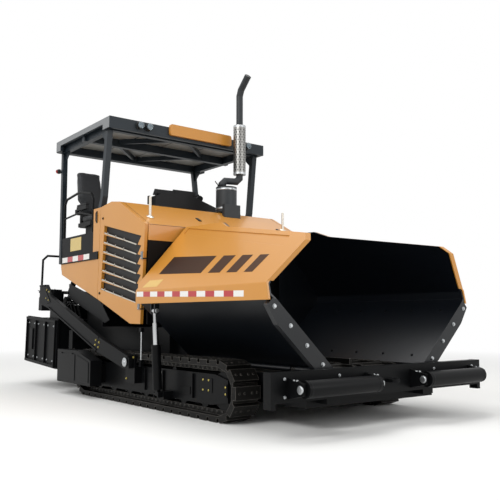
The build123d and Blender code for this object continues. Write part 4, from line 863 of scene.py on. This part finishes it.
hinge = {"spots": ((0.545, 1.741), (0.484, 1.153)), "thick": 0.004, "screwFace": 1.2666, "screw": 0.007,
    "leaf": ((-0.03, -0.045), (0.02, -0.045), (0.02, 0.045), (-0.03, 0.045)),
    "screws": ((-0.012, -0.03), (-0.012, 0.03))}
for hand, side in both:
    for x, z in hinge["spots"]:
        addSidePlate(side, skin["knuckle"], hinge["thick"], [(x + a, z + b) for a, b in hinge["leaf"]])
    placePiece("door_hinge_leaves" + hand, roofGrey, "louvre_door" + hand, 0.001)
    for x, z in hinge["spots"]:
        addSideBolts(side, hinge["screwFace"], hinge["screw"], [(x + a, z + b) for a, b in hinge["screws"]])
    placePiece("door_hinge_screws" + hand, zincSteel, "louvre_door" + hand)
print("roof and doors dressed")

screed = {"place": (-1.87, 0, 0.285), "tilt": 3, "pipe": 0.013, "deck": 1.0903, "flange": 0.022,
    "flangeThick": 0.012, "flanges": (((-0.36, 0.777), (-2.00, 1.335)), ((0.42, 0.573), (-0.34, 0.771)),
    ((-2.05, 1.176), (-0.43, 0.622)), ((-2.20, 1.498), (-2.41, 1.498))),
    "doubler": ((-2.36, 1.27), (-2.10, 1.22), (-1.98, 1.24), (-2.20, 1.44), (-2.36, 1.44)),
    "box": ((-1.30, 0.78), (-1.16, 0.78), (-1.16, 1.04), (-1.24, 1.04), (-1.30, 0.98)), "bars": 40,
    "halfWide": 1.14}
screedPlace = Matrix.Translation(screed["place"]) @ Matrix.Rotation(math.radians(screed["tilt"]), 4, "Y")


def onScreed(name, material, body="screed", edge=0.0):  # a form drawn level, then tilted with the screed
    bmesh.ops.transform(form, matrix=screedPlace, verts=form.verts)
    placePiece(name, material, body, edge)


def addFlange(side, start, end):  # flat bar below a line in the side view
    start, end = Vector(start), Vector(end)
    run = (end - start).normalized()
    down = Vector((run.y, -run.x)) * screed["flange"] * (1 if run.x > 0 else -1)
    addSidePlate(side, skin["towArm"], screed["flangeThick"], (start, end, end + down, start + down))


for hand, side in both:
    extension = "screed_extension" + hand
    # flanges along the arm's edges and a doubler at its rear end
    for start, end in screed["flanges"]:
        addFlange(side, start, end)
    addSidePlate(side, skin["towArm"], 0.006, screed["doubler"])
    placePiece("tow_arm_flanges" + hand, charcoalEnamel, "screed", 0.002)
    # end plate: flanges, ribs and a cover, welded on its outer face
    face = skin["endPlate"]
    for z0, z1 in ((0.655, 0.69), (0.012, 0.05)):
        addSideBox(side, face, 0.03, -1.20, -0.05, z0, z1)
    for x in (-1.20, -0.82, -0.44, -0.07):
        addSideBox(side, face, 0.026, x, x + 0.014, 0.05, 0.655)
    addSideBox(side, face, 0.02, -1.06, -0.94, 0.20, 0.52)
    onScreed("end_plate_ribs" + hand, charcoalEnamel, extension, 0.0015)
    for x in (-1.12, -0.90, -0.74, -0.52, -0.36, -0.15):
        addSideBolts(side, face, 0.013, ((x, 0.10), (x, 0.60)))
    onScreed("end_plate_bolts" + hand, zincSteel, extension)
    # operator's box at the extension's rear, with its bracket and side cover
    addPrism([(x, side * 1.10, z) for x, z in screed["box"]], (0, -side * 0.30, 0))
    for x, y0, y1, z0, z1 in ((-1.20, 0.88, 0.92, 0.64, 0.80), (-1.27, 1.13, 1.20, 0.30, 0.62)):
        addSlab((x, min(side * y0, side * y1), z0), (-1.149, max(side * y0, side * y1), z1))
    onScreed("screed_control_box" + hand, blackAbs, extension, 0.008)
    for y in (0.86, 0.95, 1.04):
        addTube([(-1.235, side * y, 1.035), (-1.25, side * y, 1.10)], 0.006, 8)
        addLathe([(0.004, 0), (0.014, 0.006), (0.015, 0.02), (0.008, 0.03)], (-1.25, side * y, 1.098),
            (-0.1, 0, 1), 14)
    onScreed("screed_control_levers" + hand, blackAbs, extension)
    for y in (0.98, 1.03, 1.08):
        route = [(-0.25, side * y, 0.905), (-0.12, side * y, 0.96), (-0.04, side * (y - 0.04), 0.74),
            (-0.06, side * (y - 0.12), 0.60)]
        addTube(bentRoute(route, 0.06), screed["pipe"], 10)
    onScreed("screed_pipes" + hand, blackEnamel)
    # clamp foot of the walkway rail
    x, y = -1.09, side * 1.14
    addSlab((x - 0.045, y - 0.045, screed["deck"]), (x + 0.03, y + 0.028, 1.10))
    addLathe([(0.026, 0), (0.026, 0.05), (0.02, 0.055)], (x, y, 1.10), upwards, 20)
    onScreed("rail_feet" + hand, blackEnamel, edge=0.002)
for k in range(screed["bars"]):
    y = -screed["halfWide"] + k * 2 * screed["halfWide"] / (screed["bars"] - 1)
    addSlab((-1.09 if abs(y) < 1.05 else -1.02, y - 0.004, screed["deck"]), (-0.52, y + 0.004, 1.102))
for x in (-1.00, -0.80, -0.60):
    addSlab((x - 0.005, -1.145, screed["deck"]), (x + 0.005, 1.145, 1.0985))
onScreed("walkway_grating", wornPlate)
print("screed dressed")

studio = {"floor": "#F2F2F0", "floorSize": 60, "fadeStart": 5.0, "fadeEnd": 14.0, "skyStrength": 0.62,
    "lights": (("key soft box", (3.5, -9.0, 7.5), (0.5, 0, 1.2), (6, 4), 440),
        ("fill soft box", (10.0, 3.0, 4.0), (0.5, 0, 1.2), (5, 4), 180),
        ("top soft box", (-0.5, 0.0, 10.0), (0, 0, 0), (8, 6), 470))}
bmesh.ops.create_grid(form, x_segments=1, y_segments=1, size=studio["floorSize"])
floor = formObject("floor")
floorPaint, floorTree, floorShader, floorPlace = newMaterial("pale studio floor",
    {"Base Color": studio["floor"], "Roughness": 0.9})
# far away the floor runs out into the white backdrop, so no line shows
away = addNode(floorTree, "VectorMath", {"operation": "LENGTH"}, {0: floorPlace})
fade = addNode(floorTree, "MapRange", {"From Min": studio["fadeStart"], "From Max": studio["fadeEnd"]},
    {"Value": away})
rays = addNode(floorTree, "LightPath")
seen = addNode(floorTree, "Math", {"operation": "MULTIPLY"}, {0: fade, 1: rays.outputs["Is Camera Ray"]})
glow = addNode(floorTree, "Emission", {"Color": (1, 1, 1, 1), "Strength": 1.0})
blend = addNode(floorTree, "MixShader", {}, {0: seen, 1: floorShader.outputs[0], 2: glow})
setUp(floorTree.nodes["Material Output"], {}, {"Surface": blend})
floor.data.materials.append(floorPaint)

world = bpy.data.worlds.new("studio")
world.use_nodes = True
scene.world = world
sky = world.node_tree
backdrop = sky.nodes["Background"]
# rays that are seen find plain white, and the light that falls on the machine is weaker
paths = addNode(sky, "LightPath")
direct = addNode(sky, "Math", {"operation": "MAXIMUM"},
    {0: paths.outputs["Is Camera Ray"], 1: paths.outputs["Is Transmission Ray"]})
plain = addNode(sky, "Math", {"operation": "MAXIMUM"}, {0: direct, 1: paths.outputs["Is Glossy Ray"]})
level = addNode(sky, "MapRange", {"To Min": studio["skyStrength"]}, {"Value": plain})
setUp(backdrop, {"Color": (1, 1, 1, 1)}, {"Strength": level})

for name, place, aim, size, power in studio["lights"]:
    light = bpy.data.lights.new(name, "AREA")
    light.shape = "RECTANGLE"
    light.size, light.size_y = size
    light.energy = power
    softBox = newObject(name, light)
    softBox.location = place
    softBox.rotation_euler = (Vector(aim) - Vector(place)).to_track_quat("-Z", "Y").to_euler()

camera = {"place": (7.551, -5.111, 1.015), "tilt": 95.698, "turn": 52.144, "lens": 48.86, "sensor": 36}
lens = bpy.data.cameras.new("camera")
lens.lens = camera["lens"]
lens.sensor_width = camera["sensor"]
viewer = newObject("camera", lens)
viewer.location = camera["place"]
viewer.rotation_euler = (math.radians(camera["tilt"]), 0, math.radians(camera["turn"]))
scene.camera = viewer
scene.view_settings.view_transform = "Standard"
print("studio set")
